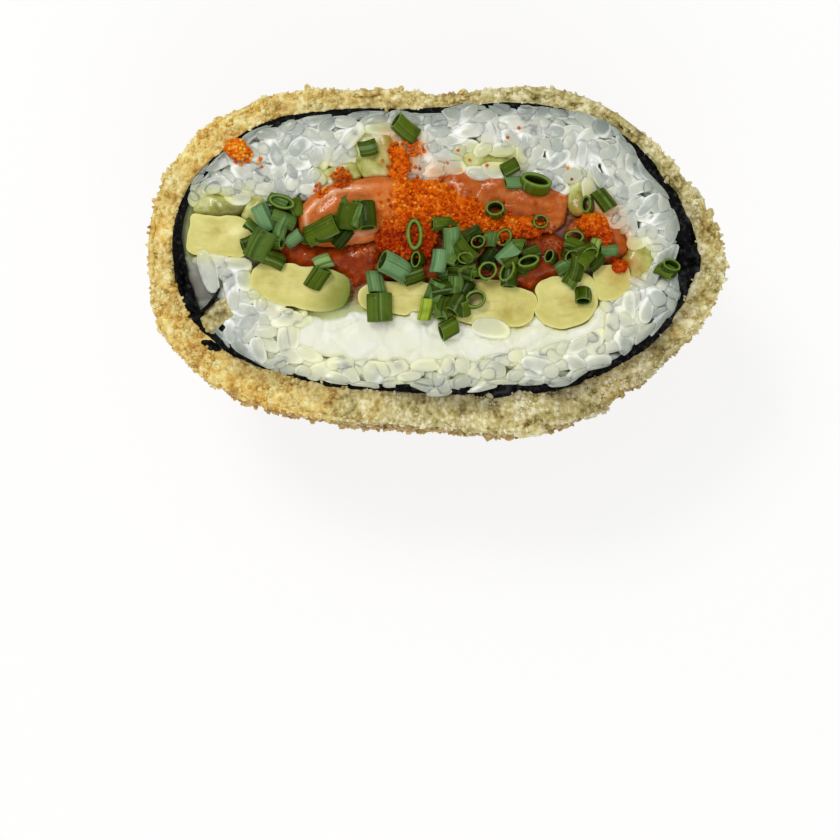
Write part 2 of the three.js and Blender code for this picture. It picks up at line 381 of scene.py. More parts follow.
class Look:
    """A material's nodes, made with short calls. Colours are given as they are seen, 0 to 255."""

    def __init__(self, name, roughness, specular=0.5, below=(0, 0), coat=(0, 0), scatter=(1, 0.95, 0.85)):
        """below is how much light goes under the surface and how far, and coat its weight and roughness."""
        self.material = bpy.data.materials.new(name)
        self.material.use_nodes = True
        self.tree = self.material.node_tree
        self.shader = self.tree.nodes["Principled BSDF"]
        sockets = {
            "Roughness": roughness, "Specular IOR Level": specular, "Subsurface Weight": below[0],
            "Subsurface Scale": below[1] * MM, "Subsurface Radius": scatter, "Coat Weight": coat[0],
            "Coat Roughness": coat[1],
        }
        for socket, value in sockets.items():
            self.shader.inputs[socket].default_value = value

    def node(self, kind, **settings):
        made = self.tree.nodes.new("ShaderNode" + kind)
        for key, value in settings.items():
            setattr(made, key, value)
        return made

    def feed(self, value, socket):
        """A number, a colour or another node's output, into a socket."""
        if isinstance(value, bpy.types.NodeSocket):
            self.tree.links.new(value, socket)
        else:
            socket.default_value = linear(value) if isinstance(value, tuple) else value

    def place(self):
        return self.node("TexCoord").outputs["Object"]

    def noise(self, size, detail, roughness=0.5, stretch=(1, 1, 1)):
        """Noise with lumps of about that size, from 0 to 1."""
        mapping = self.node("Mapping")
        mapping.inputs["Scale"].default_value = stretch
        self.feed(self.place(), mapping.inputs["Vector"])
        made = self.node("TexNoise")
        made.inputs["Scale"].default_value = 1 / (size * MM)
        made.inputs["Detail"].default_value = detail
        made.inputs["Roughness"].default_value = roughness
        self.feed(mapping.outputs["Vector"], made.inputs["Vector"])
        return made.outputs["Fac"]

    def value(self, name):
        """A number that the mesh holds for each point."""
        return self.node("Attribute", attribute_name=name).outputs["Fac"]

    def ramp(self, factor, *stops):
        """A colour that follows a number. Each stop is its place and its colour."""
        made = self.node("ValToRGB")
        elements = made.color_ramp.elements
        while len(elements) < len(stops):
            elements.new(0.5)
        for element, (place, *colour) in zip(elements, stops):
            element.position = place
            element.color = linear(colour)
        self.feed(factor, made.inputs["Fac"])
        return made.outputs["Color"]

    def mix(self, factor, a, b, blend="MIX"):
        made = self.node("Mix", data_type="RGBA", blend_type=blend)
        for value, socket in ((factor, 0), (a, 6), (b, 7)):
            self.feed(value, made.inputs[socket])
        return made.outputs[2]

    def stain(self, factor, colour, stain):
        """A colour seen through another."""
        return self.mix(factor, colour, stain, "MULTIPLY")

    def over(self, colour, **marks):
        """A colour with others laid over it, each as far as the mesh's number of that name says."""
        for name, mark in marks.items():
            colour = self.mix(self.value(name), colour, mark)
        return colour

    def math(self, operation, a, b, clamp=False):
        made = self.node("Math", operation=operation, use_clamp=clamp)
        self.feed(a, made.inputs[0])
        self.feed(b, made.inputs[1])
        return made.outputs[0]

    def times(self, a, b):
        return self.math("MULTIPLY", a, b)

    def plus(self, a, b, clamp=False):
        return self.math("ADD", a, b, clamp)

    def ease(self, value, low, high, to_low=0.0, to_high=1.0):
        """Goes from to_low to to_high as a number goes from low to high."""
        made = self.node("MapRange", interpolation_type="SMOOTHSTEP")
        for k, number in enumerate((value, low, high, to_low, to_high)):
            self.feed(number, made.inputs[k])
        return made.outputs[0]

    def ease_along(self, axis, low, high, to_high=1.0):
        """Goes from 0 to to_high as the place along X, Y or Z goes from low to high."""
        split = self.node("SeparateXYZ")
        self.feed(self.place(), split.inputs[0])
        return self.ease(split.outputs[axis], low * MM, high * MM, 0.0, to_high)

    def bump(self, size, detail, depth, strength):
        """Unevenness with lumps of about that size."""
        made = self.node("Bump")
        made.inputs["Distance"].default_value = depth * MM
        made.inputs["Strength"].default_value = strength
        self.feed(self.noise(size, detail), made.inputs["Height"])
        self.feed(made.outputs[0], self.shader.inputs["Normal"])

    def colour(self, value):
        self.feed(value, self.shader.inputs["Base Color"])
        return self.material


def linear(colour):
    """A colour given as it is seen, as the linear light that a shader takes."""
    seen = np.array(colour) / 255
    return (*np.where(seen <= 0.04045, seen / 12.92, ((seen + 0.055) / 1.055) ** 2.4).tolist(), 1)


def coating_look(paler=0.0):
    """Fried crumb: golden at the left, paler and greener to the right, dark where oil soaked in, with
    painted light on its lumps, painted shade in its hollows and below the cut, and painted shade with damp
    at the lower right.
    """
    look = Look("coating", 0.38, 0.35, (0.35, 0.3), (0.2, 0.25), scatter=(1.0, 0.8, 0.5))
    speckle = look.noise(0.7, 3, 0.6)
    # Painted light and shade: lighter where the crumb stands high and darker in its hollows, with a random
    # speckle.
    tone_and_hollow_shade = look.plus(look.times(look.value("relief"), 0.75), look.times(speckle, 0.45))
    golden = ((0.2, 168, 116, 36), (0.38, 216, 170, 68), (0.6, 242, 211, 116), (0.88, 255, 244, 178))
    greenish = ((0.2, 98, 82, 34), (0.38, 172, 156, 86), (0.6, 212, 200, 138), (0.88, 252, 246, 212))
    across = look.plus(look.ease_along(0, -50, 0), paler)
    patches = look.ease(look.noise(13, 2), 0.35, 0.65, -0.3, 0.3)
    right = look.plus(across, patches, clamp=True)
    lit = look.mix(right, look.ramp(tone_and_hollow_shade, *golden), look.ramp(tone_and_hollow_shade, *greenish))
    browned = look.ease(look.noise(4, 3, 0.6), 0.58, 0.75, 0, 0.6)
    lit = look.stain(browned, lit, (214, 174, 108))
    # Painted shade: darker further below the cut, where the sides face away from the light.
    lit = look.stain(look.ease_along(2, CUT - 0.8, CUT - 7), lit, (222, 198, 158))
    # Painted shade and damp: darker at the lower right, where the other half lies against it.
    corner = look.times(look.ease_along(0, 18, 34), look.ease_along(1, -8, -20))
    lit = look.stain(corner, lit, (228, 225, 220))
    look.bump(0.45, 3, 0.25, 0.8)
    return look.colour(look.stain(look.value("soaked"), lit, (140, 130, 112)))


def seaweed_look():
    """Roasted seaweed: almost black, with dull creases, and a painted highlight along the ridges of its
    folds.
    """
    look = Look("seaweed", 0.4, 0.06)
    colour = look.ramp(look.noise(0.9, 4), (0.4, 0, 0, 1), (0.56, 8, 9, 9), (0.72, 52, 54, 52))
    look.bump(0.7, 4, 0.4, 0.9)
    return look.colour(look.over(colour, fold=(74, 76, 76)))


# Painted glow: the rice's emission, standing in for light that comes through the grains.
RICE_GLOW = (0.02, 0.16)  # light from the grains around that comes through a grain's top, and its rim


def rice_look():
    """Cooked rice: milky and see-through, stained by what lies beside it, with a painted highlight and
    painted glow at its rims, and painted shade on deeper grains and near the seaweed.
    """
    look = Look("rice", 0.35, 0.35, (0.8, 0.7), (0.25, 0.12))
    colour = look.ramp(
        look.value("tint"), (0.0, 170, 178, 172), (0.35, 194, 200, 190), (0.7, 212, 215, 200),
        (1.0, 232, 232, 216),
    )
    milk = look.ease(look.noise(1.7, 2), 0.45, 0.75)
    colour = look.mix(look.times(milk, 0.5), colour, (238, 240, 228))
    # Painted highlight: grains near the cut are whiter towards their rims, which also glow most.
    shallow = look.ease_along(2, CUT - 1.9, CUT - 0.4)
    rim = look.times(look.ease(look.value("crown"), 0.92, 0.42), shallow)
    colour = look.mix(look.times(rim, 0.9), colour, (250, 251, 244))
    # Painted shade: darker the deeper a grain lies.
    colour = look.stain(look.ease_along(2, CUT - 0.4, CUT - 1.9), colour, (178, 183, 172))
    # Painted shade: greyer near the seaweed.
    colour = look.stain(look.value("painted_wall_shade"), colour, (188, 194, 192))
    colour = look.over(colour, near_cheese=(238, 239, 200), near_greens=(222, 222, 152),
                       near_roe=(224, 156, 74))
    # Painted glow: the grains emit their own colour, most at their rims.
    look.feed(colour, look.shader.inputs["Emission Color"])
    look.feed(look.ease(rim, 0, 1, *RICE_GLOW), look.shader.inputs["Emission Strength"])
    look.bump(0.9, 2, 0.12, 0.4)
    return look.colour(colour)


def rice_core_look():
    """What shows in gaps: rice, stained by its neighbours, with painted shade: greyer than the grains and
    darker than the salmon and greens beside it; and a grey film in the pocket.
    """
    look = Look("rice_core", 0.5, below=(0.3, 1.5))
    # Painted shade: the rice here is greyer than the grains above it.
    colour = look.ramp(look.noise(3, 3), (0.3, 156, 160, 148), (0.7, 208, 211, 196))
    return look.colour(look.over(
        colour, by_greens=(134, 146, 62), by_cheese=(234, 240, 180), by_salmon=(134, 60, 22),
        pocket=(124, 120, 112),
    ))


def salmon_look(name, shaded, plain, pale, fat):
    """Raw salmon: wet, with faint lines of muscle, a pale line of fat near one end, and painted glints in
    pale patches.
    """
    look = Look(name, 0.45, 0.03, (0.4, 1.5), (0.35, 0.1), scatter=(1.0, 0.35, 0.1))
    fibre = look.plus(look.times(look.value("fibre"), 0.12),
                      look.times(look.noise(3.5, 4, 0.6), 0.88))
    colour = look.ramp(fibre, (0.25, *shaded), (0.5, *plain), (0.75, *pale))
    # Painted highlight: pale glints in patches, in the colour of the fat.
    painted_glints = look.times(look.ease(look.noise(6, 2), 0.56, 0.68),
                       look.ease(look.noise(0.7, 4), 0.42, 0.62))
    colour = look.mix(look.times(painted_glints, 0.75), colour, fat)
    look.bump(0.6, 4, 0.3, 0.9)
    return look.colour(look.over(colour, fat=fat))


def avocado_look():
    """Avocado: waxy, streaked and mottled, darker and greener a little in from its edges, with a painted
    highlight along its very edges, green under its skin.
    """
    look = Look("avocado", 0.4, 0.3, (0.2, 1))
    colour = look.ramp(
        look.noise(8, 4, 0.55), (0.34, 190, 172, 86), (0.44, 216, 204, 120),
        (0.56, 236, 226, 146), (0.68, 255, 250, 178),
    )
    strands = look.noise(1.3, 3, stretch=(0.3, 1, 1))
    colour = look.mix(look.ease(strands, 0.55, 0.72, 0, 0.4), colour, (190, 170, 90))
    colour = look.mix(look.times(look.value("near_edge"), 0.7), colour, (206, 200, 104))
    # Painted highlight: a pale line along the slice's very edges.
    colour = look.mix(look.times(look.value("edge"), 0.7), colour, (246, 240, 160))
    look.bump(1.2, 4, 0.25, 0.45)
    return look.colour(look.over(colour, skin=(112, 130, 30), near_roe=(214, 160, 78)))


def cucumber_look():
    """Cucumber, wet and see-through, from pale middle to dark skin."""
    look = Look("cucumber", 0.3, 0.25, (0.4, 1.2), (0.3, 0.1))
    colour = look.ramp(
        look.noise(2.4, 4), (0.3, 150, 148, 58), (0.5, 194, 196, 112), (0.75, 228, 232, 178)
    )
    look.bump(1.0, 3, 0.25, 0.5)
    return look.colour(look.over(colour, skin=(94, 86, 28), near_roe=(184, 122, 14)))


def cheese_look():
    """Cream cheese: white, a little creamy in patches."""
    look = Look("cream_cheese", 0.4, below=(0.4, 2))
    colour = look.ramp(look.noise(5, 3), (0.3, 238, 240, 212), (0.7, 250, 252, 236))
    look.bump(1.6, 4, 0.35, 0.45)
    return look.colour(colour)


def roe_look():
    """Small clear eggs, each with its own shade, with painted shade that darkens them towards lower Y,
    where the heap lies among the chives.
    """
    look = Look("roe", 0.3, 0.02, (0.3, 0.2), (0.16, 0.05), scatter=(1.0, 0.6, 0.2))
    egg = look.ramp(
        look.value("tint"), (0.0, 168, 52, 0), (0.35, 210, 86, 0), (0.7, 236, 118, 2), (1.0, 255, 184, 60)
    )
    # Painted shade: darker and redder towards lower Y.
    return look.colour(look.stain(look.ease_along(1, 12, 2, 0.9), egg, (206, 140, 120)))


def chive_look():
    """Cut chives: waxy and streaked outside, fresh green at their cut rims, and dark inside: painted shade
    in the hollow.
    """
    look = Look("chives", 0.45, 0.06, (0.1, 0.4), (0.08, 0.15))
    outside = look.ramp(
        look.value("tint"), (0.0, 30, 46, 0), (0.3, 62, 80, 6), (0.52, 88, 108, 16), (0.7, 92, 124, 62),
        (0.86, 124, 164, 116), (1.0, 176, 192, 2),
    )
    dark = look.stain(1.0, outside, (160, 172, 144))
    pale = look.mix(0.4, outside, (176, 210, 164))
    streak = look.value("streak")
    colour = look.mix(look.ease(streak, 0.0, 0.4), dark, outside)
    colour = look.mix(look.ease(streak, 0.7, 1.0, 0, 0.6), colour, pale)
    colour = look.mix(look.ease(look.noise(2.6, 3), 0.5, 0.7, 0, 0.5), colour, dark)
    look.bump(0.5, 3, 0.08, 0.5)
    # Painted shade: the inner wall is dark; the cut rims are fresh green.
    return look.colour(look.over(colour, inner=(44, 62, 2), rim=(124, 154, 64)))


# ---- coating ----

DIPS = np.radians(np.linspace(0, 89, 104))  # how far below the cut its outside is measured
RIM_DIPS = np.radians(np.linspace(0, 15, 40))  # where its outside is made finely
SIDE_DIPS = np.radians(np.linspace(14.6, 89, 80))
FINE_AROUND = 1200  # columns of the cut and the rim
FACE_STEPS = 22  # rows across the coating's cut
CRUMB_COVER = 0.5  # how far the coating's body lies below the crumbs' tops
LIP = 0.1  # how far its cut reaches over the seaweed
BODY_TOP, CRUMB_TOP, FLAKE_TOP = 0.8, 1.2, 0.9  # how far each may stand above the cut
INNER_DEPTH = 9.0  # how far down walls inside the coating are made
WALL_DEPTHS = (INNER_DEPTH, 4.5, 1.2)  # rows up the coating's inner wall
RIM_ROW = len(WALL_DEPTHS) + FACE_STEPS  # where its cut meets its outside


def coating_radii():
    """How far the coating's outside is from the middle of the cut: a row for each dip."""
    tree = tree_of("coating")
    radii = np.array([[radius_at(tree, a, d, False) for a in AZIMUTHS] for d in DIPS])
    radii = smooth_around(radii, FACET)
    both = np.concatenate([radii[:0:-1], radii])  # the cut mirrored, so that it stays square
    return smooth_around(both.T, 4).T[len(DIPS) - 1 :]


def around_ring(values, azimuths):
    """Numbers given for AZIMUTHS, at other azimuths."""
    return np.interp(azimuths, AZIMUTHS, values, period=2 * math.pi)


def outside_grid(radii, dips, around):
    """The coating's outside as a grid of points, a row for each dip."""
    azimuths = azimuths_of(around)
    at_dips = np.array([np.interp(dips, DIPS, column) for column in radii.T]).T
    level = np.array([around_ring(row, azimuths) for row in at_dips])[..., None]
    dips = dips[:, None, None]
    return np.concatenate([way(azimuths) * (level * np.cos(dips)), CUT - level * np.sin(dips)], -1)


def cut_grid(edge):
    """Up the coating's inner wall and across its cut, to the outer edge."""
    azimuths = azimuths_of(len(edge))
    ring = way(azimuths)
    lip = LIP * (1 + lumps(40 * ring, 1.5, 31) + 0.5 * lumps(40 * ring, 5, 32))
    inner = ring * (around_ring(COATING_IN, azimuths) - lip)[:, None]
    rows = [raised(inner, CUT - depth) for depth in WALL_DEPTHS]
    for t in np.linspace(0, 1, FACE_STEPS, endpoint=False):
        rows.append(raised(inner + t * (edge[:, :2] - inner), CUT))
    return np.array(rows)


def grid_normals(grid):
    """Outward normals of a grid that goes right round."""
    around = np.roll(grid, -1, 1) - np.roll(grid, 1, 1)
    down = np.gradient(grid, axis=0)
    normals = np.cross(down, around)
    return normals / np.maximum(np.linalg.norm(normals, axis=-1, keepdims=True), 1e-9)


def crumb_relief(points):
    """How far the coating stands out, in millimetres, and how high that is from 0 to 1."""
    warped = points + 0.6 * shifts(points, 1.6, 101)
    coarse, _ = grains(warped, 3.6, 3)
    fine, _ = grains(warped, 1.5, 7)
    tiny, _ = grains(points, 0.75, 15)
    crags = np.clip((points[..., 0] + 20) / 45, 0.12, 1) * lumps(warped, 3.4, 41)  # more at the right
    rise = 1.0 * (0.5 - coarse) + 0.7 * (0.5 - fine) + 0.4 * (0.5 - tiny) + 0.9 * lumps(points, 8, 9)
    rise = rise + 1.5 * crags
    # How high, from 0 to 1, which the coating's material paints lighter where high and darker where low:
    # painted light and shade.
    high = 0.52 + 0.45 * (0.5 - coarse) + 0.6 * (0.5 - fine) + 0.55 * (0.5 - tiny) + 0.22 * crags
    return rise, np.clip(high, 0, 1)


def soaked(points):
    """Where oil and damp seaweed have darkened the coating: its inner edge, most of all below."""
    azimuth, radius = polar(points)
    inner, outer = around_ring(COATING_IN, azimuth), around_ring(COATING_OUT, azimuth)
    across = (radius - inner) / (outer - inner) + 0.35 * lumps(points, 5, 13)
    below = np.clip(0.3 - 0.45 * np.sin(azimuth) + 0.2 * np.cos(azimuth), 0.08, 0.8)
    near_cut = np.clip(1 - (CUT - points[..., 2]) / 5, 0, 1)
    return np.clip(1.15 - 2.2 * across, 0, 1) * below * near_cut


def roughened(grid, normals, inner_rows=0):
    """A grid of the coating with its crumbly relief, and the numbers its material reads."""
    rise, relief = crumb_relief(grid)
    on_cut = np.abs(grid[..., 2] - CUT) < TOUCH
    inner = np.arange(len(grid))[:, None] < inner_rows
    rise = np.where(inner, 0, np.where(on_cut, 0.6 * rise - 0.3, rise - CRUMB_COVER))
    rough = grid + normals * rise[..., None]
    rough[..., 2] = np.clip(rough[..., 2], 0, CUT + BODY_TOP)
    return rough, relief, soaked(grid)


def make_coating(look):
    """The coating's body, in two pieces: its cut and rim, and its sides and bottom."""
    radii = coating_radii()
    rim = outside_grid(radii, RIM_DIPS, FINE_AROUND)
    top = np.concatenate([cut_grid(rim[0]), rim])
    top_normals = grid_normals(top)
    rough, relief, damp = roughened(top, top_normals, len(WALL_DEPTHS))
    piece("coating_crust", rough, grid_faces(len(top), FINE_AROUND), look, "coating", ["coating"],
          relief=relief, soaked=damp)
    sides = outside_grid(radii, SIDE_DIPS, AROUND)
    side_normals = grid_normals(sides)
    rough, relief, damp = roughened(sides, side_normals)
    points = np.concatenate([rough.reshape(-1, 3), rough[-1].mean(0)[None]])
    last = np.arange(damp.size - AROUND, damp.size)
    faces = np.concatenate([grid_faces(len(sides), AROUND), fan(last[::-1], damp.size)])
    piece("coating_sides", points, faces, look, "coating", relief=np.append(relief, 0.5),
          soaked=np.append(damp, 0))
    return (top, top_normals), (sides, side_normals)


def strew_crumbs(name, base, facing, small, large, spiky, cover, look):
    """Lumpy crumbs at given places, sunk so that their tops come to about the coating's surface."""
    count = len(base)
    shape, faces = ball(1)
    radii = 1 + rng.uniform(-spiky, spiky, (count, len(shape), 1))
    widths = small * (large / small) ** rng.beta(1.2, 2.2, (count, 1, 1))
    stretch = rng.uniform((0.9, 0.7, 0.5), (1.6, 1.1, 0.9), (count, 3))[:, None]
    shapes = shape * radii * widths / 2 * stretch
    size = np.abs(shapes).max(axis=(1, 2))[:, None]
    rise, relief = crumb_relief(base)
    clumped = 0.5 * lumps(base, 2.2, 17)[:, None]
    out = rise[:, None] - cover + size * (rng.uniform(-0.5, 0.25, (count, 1)) + clumped)
    places = base + facing * out
    places[:, 2] = np.maximum(places[:, 2], 0.5 * size[:, 0])
    points, faces = strewn(shapes, faces, places, turns(count))
    points[:, 2] = np.clip(points[:, 2], 0, CUT + CRUMB_TOP)
    # Each crumb's tone follows how high it stands, with random tone: painted light on high crumbs, painted
    # shade on low ones.
    shade = np.clip(relief + rng.normal(0, 0.1, count) + 0.16 * lumps(base, 1.8, 19), 0, 1)
    piece(name, points, faces, look, "coating", relief=for_each_point(shade, shapes),
          soaked=for_each_point(soaked(base), shapes))


def crumbs_on(name, grid, normals, rows, count, small, large, look, cover=CRUMB_COVER, spiky=0.3):
    """Crumbs strewn over some rows of a grid, as many to each square millimetre."""
    span = grid[rows]
    down = np.linalg.norm(np.diff(span, axis=0), axis=-1)
    around = np.linalg.norm(np.roll(span, -1, 1) - span, axis=-1)[:-1]
    share = (down * around).ravel()
    i, j = np.divmod(rng.choice(len(share), count, p=share / share.sum()), span.shape[1])
    t, u = rng.uniform(0, 1, (2, count, 1))
    onward = (j + 1) % span.shape[1]
    above = span[i, j] * (1 - u) + span[i, onward] * u
    below = span[i + 1, j] * (1 - u) + span[i + 1, onward] * u
    base = above * (1 - t) + below * t
    strew_crumbs(name, base, normals[rows][i, j], small, large, spiky, cover, look)


def make_crumbs(top, sides, look):
    """Crumbs over the coating: fine in its cut, coarser round its sides."""
    face = slice(len(WALL_DEPTHS), RIM_ROW + 1)
    rim = slice(RIM_ROW - 1, None)
    crumbs_on("crumbs_cut", *top, face, 1800, 0.5, 1.5, look, cover=0.3)
    crumbs_on("crumbs_rim", *top, rim, 4600, 0.6, 2.0, look)
    crumbs_on("crumbs_side", *sides, slice(0, None), 8200, 0.9, 2.8, look, spiky=0.14)


# Flakes that stand out at the right, from the middle of the cut.
FLAKES = ((51.0, 14.6), (51.8, 12.0), (53.6, 6.6), (54.6, 4.4), (54.0, 2.0))
OTHER_FLAKES = 34


def make_flakes(top, look):
    """Large flakes of crumb that stand out of the coating's rim."""
    grid, normals = top
    rim = grid[RIM_ROW, :, :2]
    columns = [np.linalg.norm(rim - (MIDDLE + place), axis=1).argmin() for place in FLAKES]
    columns = np.append(columns, rng.integers(0, FINE_AROUND, OTHER_FLAKES))
    count = len(columns)
    rows = RIM_ROW + rng.integers(2, len(RIM_DIPS) - 4, count)
    rows[: len(FLAKES)] = RIM_ROW + 4
    shape, faces = ball(4)
    sizes = rng.uniform((1.0, 0.8, 0.5), (1.9, 1.5, 0.9), (count, 3))[:, None]
    places = grid[rows, columns] - 0.2 * normals[rows, columns]
    points, faces = strewn(shape * sizes, faces, places, turns(count))
    rise, relief = crumb_relief(points)
    outward = points - np.repeat(places, len(shape), axis=0)
    points += 0.7 * rise[:, None] * outward / np.linalg.norm(outward, axis=1)[:, None]
    points[:, 2] = np.minimum(points[:, 2], CUT + FLAKE_TOP)
    piece("crumb_flakes", points, faces, look, "coating", relief=relief, soaked=np.zeros(len(points)))


# ---- seaweed ----

SEAWEED_STEPS = 20  # rows across its top
TUCKED = 0.5  # how far it reaches under the coating


def make_seaweed(look):
    """A dark band between the coating and the rice, crumpled where it is folded over."""
    ring = way(AZIMUTHS)
    folded = np.clip((SEAWEED_OUT - SEAWEED_IN - 1.2) / 2, 0, 1)
    outer = SEAWEED_OUT + TUCKED
    inner = np.minimum(SEAWEED_IN, SEAWEED_OUT - 0.6) - 0.4
    inner = inner + folded * 0.9 * lumps(ring * inner[:, None], 3, 21)
    rows = [raised(ring * inner[:, None], CUT - depth) for depth in (INNER_DEPTH, 3, 1)]
    folds = [np.zeros(AROUND)] * 3
    for t in np.linspace(0, 1, SEAWEED_STEPS):
        flat = ring * (inner + t * (outer - inner))[:, None]
        # Painted highlight: a grey line along each fold's ridge, which also raises it a little.
        fold = folded * np.exp(-((lumps(flat, 3.2, 26) / 0.1) ** 2))
        lift = 0.25 * lumps(flat, 6, 23) + folded * (0.9 * lumps(flat, 2.4, 25) - 0.6) + 0.3 * fold
        rows.append(raised(flat, CUT - 0.2 + lift))
        folds.append(0.6 * fold)
    rows += [raised(ring * outer[:, None], CUT - depth) for depth in (1, INNER_DEPTH)]
    folds += [np.zeros(AROUND)] * 2
    piece("seaweed_band", np.array(rows), grid_faces(len(rows), AROUND), look, "seaweed", ["seaweed"],
          fold=folds)


# The seaweed's loose end, which curls into the pocket at the left, from the middle of the cut.
FLAP_START = MIDDLE + (-44.7, -7.4)
FLAP_BEND = MIDDLE + (-45.9, -11.0)
FLAP_END = MIDDLE + (-51.0, -13.5)
FLAP_THICKNESS = 0.65
FLAP_SECTION = ((1, -6.0), (1, 0.0), (0, 0.25), (-1, 0.0), (-1, -6.0))  # to which side, and how high

# Black blobs of seaweed by the pocket: partly folds, and partly painted shade, dark stand-ins for small
# holes there. x and y from the middle of the cut, half their length, width and height, and their turn in
# degrees.
FOLDS = (
    (-46.3, -18.9, 2.5, 1.3, 1.8, -20), (-43.9, -15.4, 1.5, 1.1, 1.15, 50), (-52.8, -5.4, 0.9, 4.4, 1.5, 6)
)


def make_flap(look):
    """A thin strip that stands on edge along a curve, and the black blobs beside it: folds, and painted
    shade for small holes.
    """
    t = np.linspace(0, 1, 24)[:, None]
    middle = (1 - t) ** 2 * FLAP_START + 2 * t * (1 - t) * FLAP_BEND + t**2 * FLAP_END
    middle += 0.25 * shifts(middle, 2, 27)
    along = np.gradient(middle, axis=0)
    across = np.column_stack([-along[:, 1], along[:, 0]]) / np.linalg.norm(along, axis=1)[:, None]
    half = FLAP_THICKNESS / 2 * np.sin(math.pi * (0.1 + 0.8 * t))
    top = CUT + 0.3 + 0.4 * lumps(middle, 3, 29)
    grid = np.stack([raised(middle + side * half * across, top + lift) for side, lift in FLAP_SECTION], 1)
    rows, columns = grid.shape[:2]
    ring, last = np.arange(columns), (rows - 1) * columns
    ends = np.concatenate([fan(ring[::-1], 0), fan(ring + last, last)])
    ends = ends[(ends[:, 0] != ends[:, 2]) & (ends[:, 1] != ends[:, 2])]
    piece("seaweed_flap", grid, np.concatenate([grid_faces(rows, columns), ends]), look, "seaweed",
          ["seaweed"], fold=np.zeros(rows * columns))
    folds = np.array(FOLDS)
    shape, faces = ball(4)
    places = raised(MIDDLE + folds[:, :2], CUT - 0.9)
    matrices = turn_matrices(np.radians(folds[:, 5]), 0, 0)
    points, faces = strewn(shape * folds[:, None, 2:5], faces, places, matrices)
    points += 0.4 * shifts(points, 1.6, 33)
    piece("seaweed_folds", points, faces, look, "seaweed", fold=np.zeros(len(points)))


# ---- slices ----


def inside(points, loop):
    """Which points lie inside a closed loop."""
    x, y = points[:, 0, None], points[:, 1, None]
    ax, ay = loop.T
    bx, by = np.roll(loop, -1, 0).T
    crosses = (ay > y) != (by > y)
    at = ax + (y - ay) * (bx - ax) / np.where(by == ay, 1e-9, by - ay)
    return (crosses & (x < at)).sum(1) % 2 == 1


def from_edge(points, loop):
    """How far points are from a closed loop."""
    a, b = loop, np.roll(loop, -1, 0)
    run = b - a
    t = np.einsum("pkd,kd->pk", points[:, None] - a, run) / np.maximum((run**2).sum(1), 1e-12)
    nearest = a + np.clip(t, 0, 1)[..., None] * run
    return np.linalg.norm(points[:, None] - nearest, axis=-1).min(1)


GROWN = 0.15  # how much larger slices are made, to close the frame's gaps
FAT_DEPTH = 1.7  # how far a slice's line of fat is from its edge
FAT_WIDTH = 0.4


def field_inside(loop, spacing):
    """Points strewn evenly inside a closed loop."""
    low, high = loop.min(0), loop.max(0)
    xs, ys = (np.arange(low[k], high[k], spacing) for k in range(2))
    field = np.stack(np.meshgrid(xs, ys), -1).reshape(-1, 2)
    field += rng.uniform(-0.25, 0.25, field.shape) * spacing
    field = field[inside(field, loop)]
    return field[from_edge(field, loop) > 0.6 * spacing]


def slice_piece(name, look, slot, relief, spacing, level, slope, rounding, drop, wobble=0.3,
                crisp=False, values=None):
    """A slice of the filling: its outline from the frame, with rounded edges and an uneven top.

    level and slope set how it lies. A crisp slice has a sharp edge. relief gives more height for each
    point, and values what its material reads, from the points, how far each is from the edge, and the
    slice's middle.
    """
    loop = cut_outline(name, spacing)
    loop = loop + wobble * shifts(loop, 2.5, 31)
    onward = np.roll(loop, -1, 0) - np.roll(loop, 1, 0)
    outward = np.stack([onward[:, 1], -onward[:, 0]], -1)
    loop = loop + GROWN * outward / np.linalg.norm(outward, axis=1)[:, None]
    middle = (loop.min(0) + loop.max(0)) / 2
    count = len(loop)
    ring = np.arange(count)
    flat = np.concatenate([loop, field_inside(loop, spacing)])
    edges = np.stack([ring, np.roll(ring, -1)], -1).tolist()
    made = delaunay_2d_cdt([Vector(p) for p in flat], edges, [], 1, 1e-6)
    flat = np.array([tuple(p) for p in made[0]])
    edge = from_edge(flat, loop)
    top = CUT + level + (flat - middle) @ np.array(slope) - drop * np.exp(-edge / rounding)
    top += (0.3 * lumps(flat, 5, 33) + 0.1 * lumps(flat, 1.8, 34)) * (1 - np.exp(-edge))
    top += relief(flat, edge, middle)
    rim, high = flat[:count], top[:count]
    walls = [raised(rim, np.minimum(high - step, CUT - step)) for step in (1.0, 3.0, INNER_DEPTH)]
    starts = [len(flat) + k * count for k in range(len(walls) + crisp)]
    if crisp:
        walls.insert(0, raised(rim, high))
    else:
        starts.insert(0, 0)
    points = np.concatenate([raised(flat, top), *walls, [[*middle, CUT - INNER_DEPTH]]])
    sides = []
    for above, under in zip(starts, starts[1:]):
        a, b = above + ring, above + np.roll(ring, -1)
        c, d = under + np.roll(ring, -1), under + ring
        sides += [np.stack([a, d, c], -1), np.stack([a, c, b], -1)]
    base = fan(starts[-1] + ring[::-1], len(points) - 1)
    faces = np.concatenate([made[2], *sides, base])
    edge = np.append(edge, np.zeros(len(points) - len(edge)))
    given = values(points[:, :2], edge, middle) if values else {}
    piece(name + "_slice", points, faces, look, slot, [name], **given)


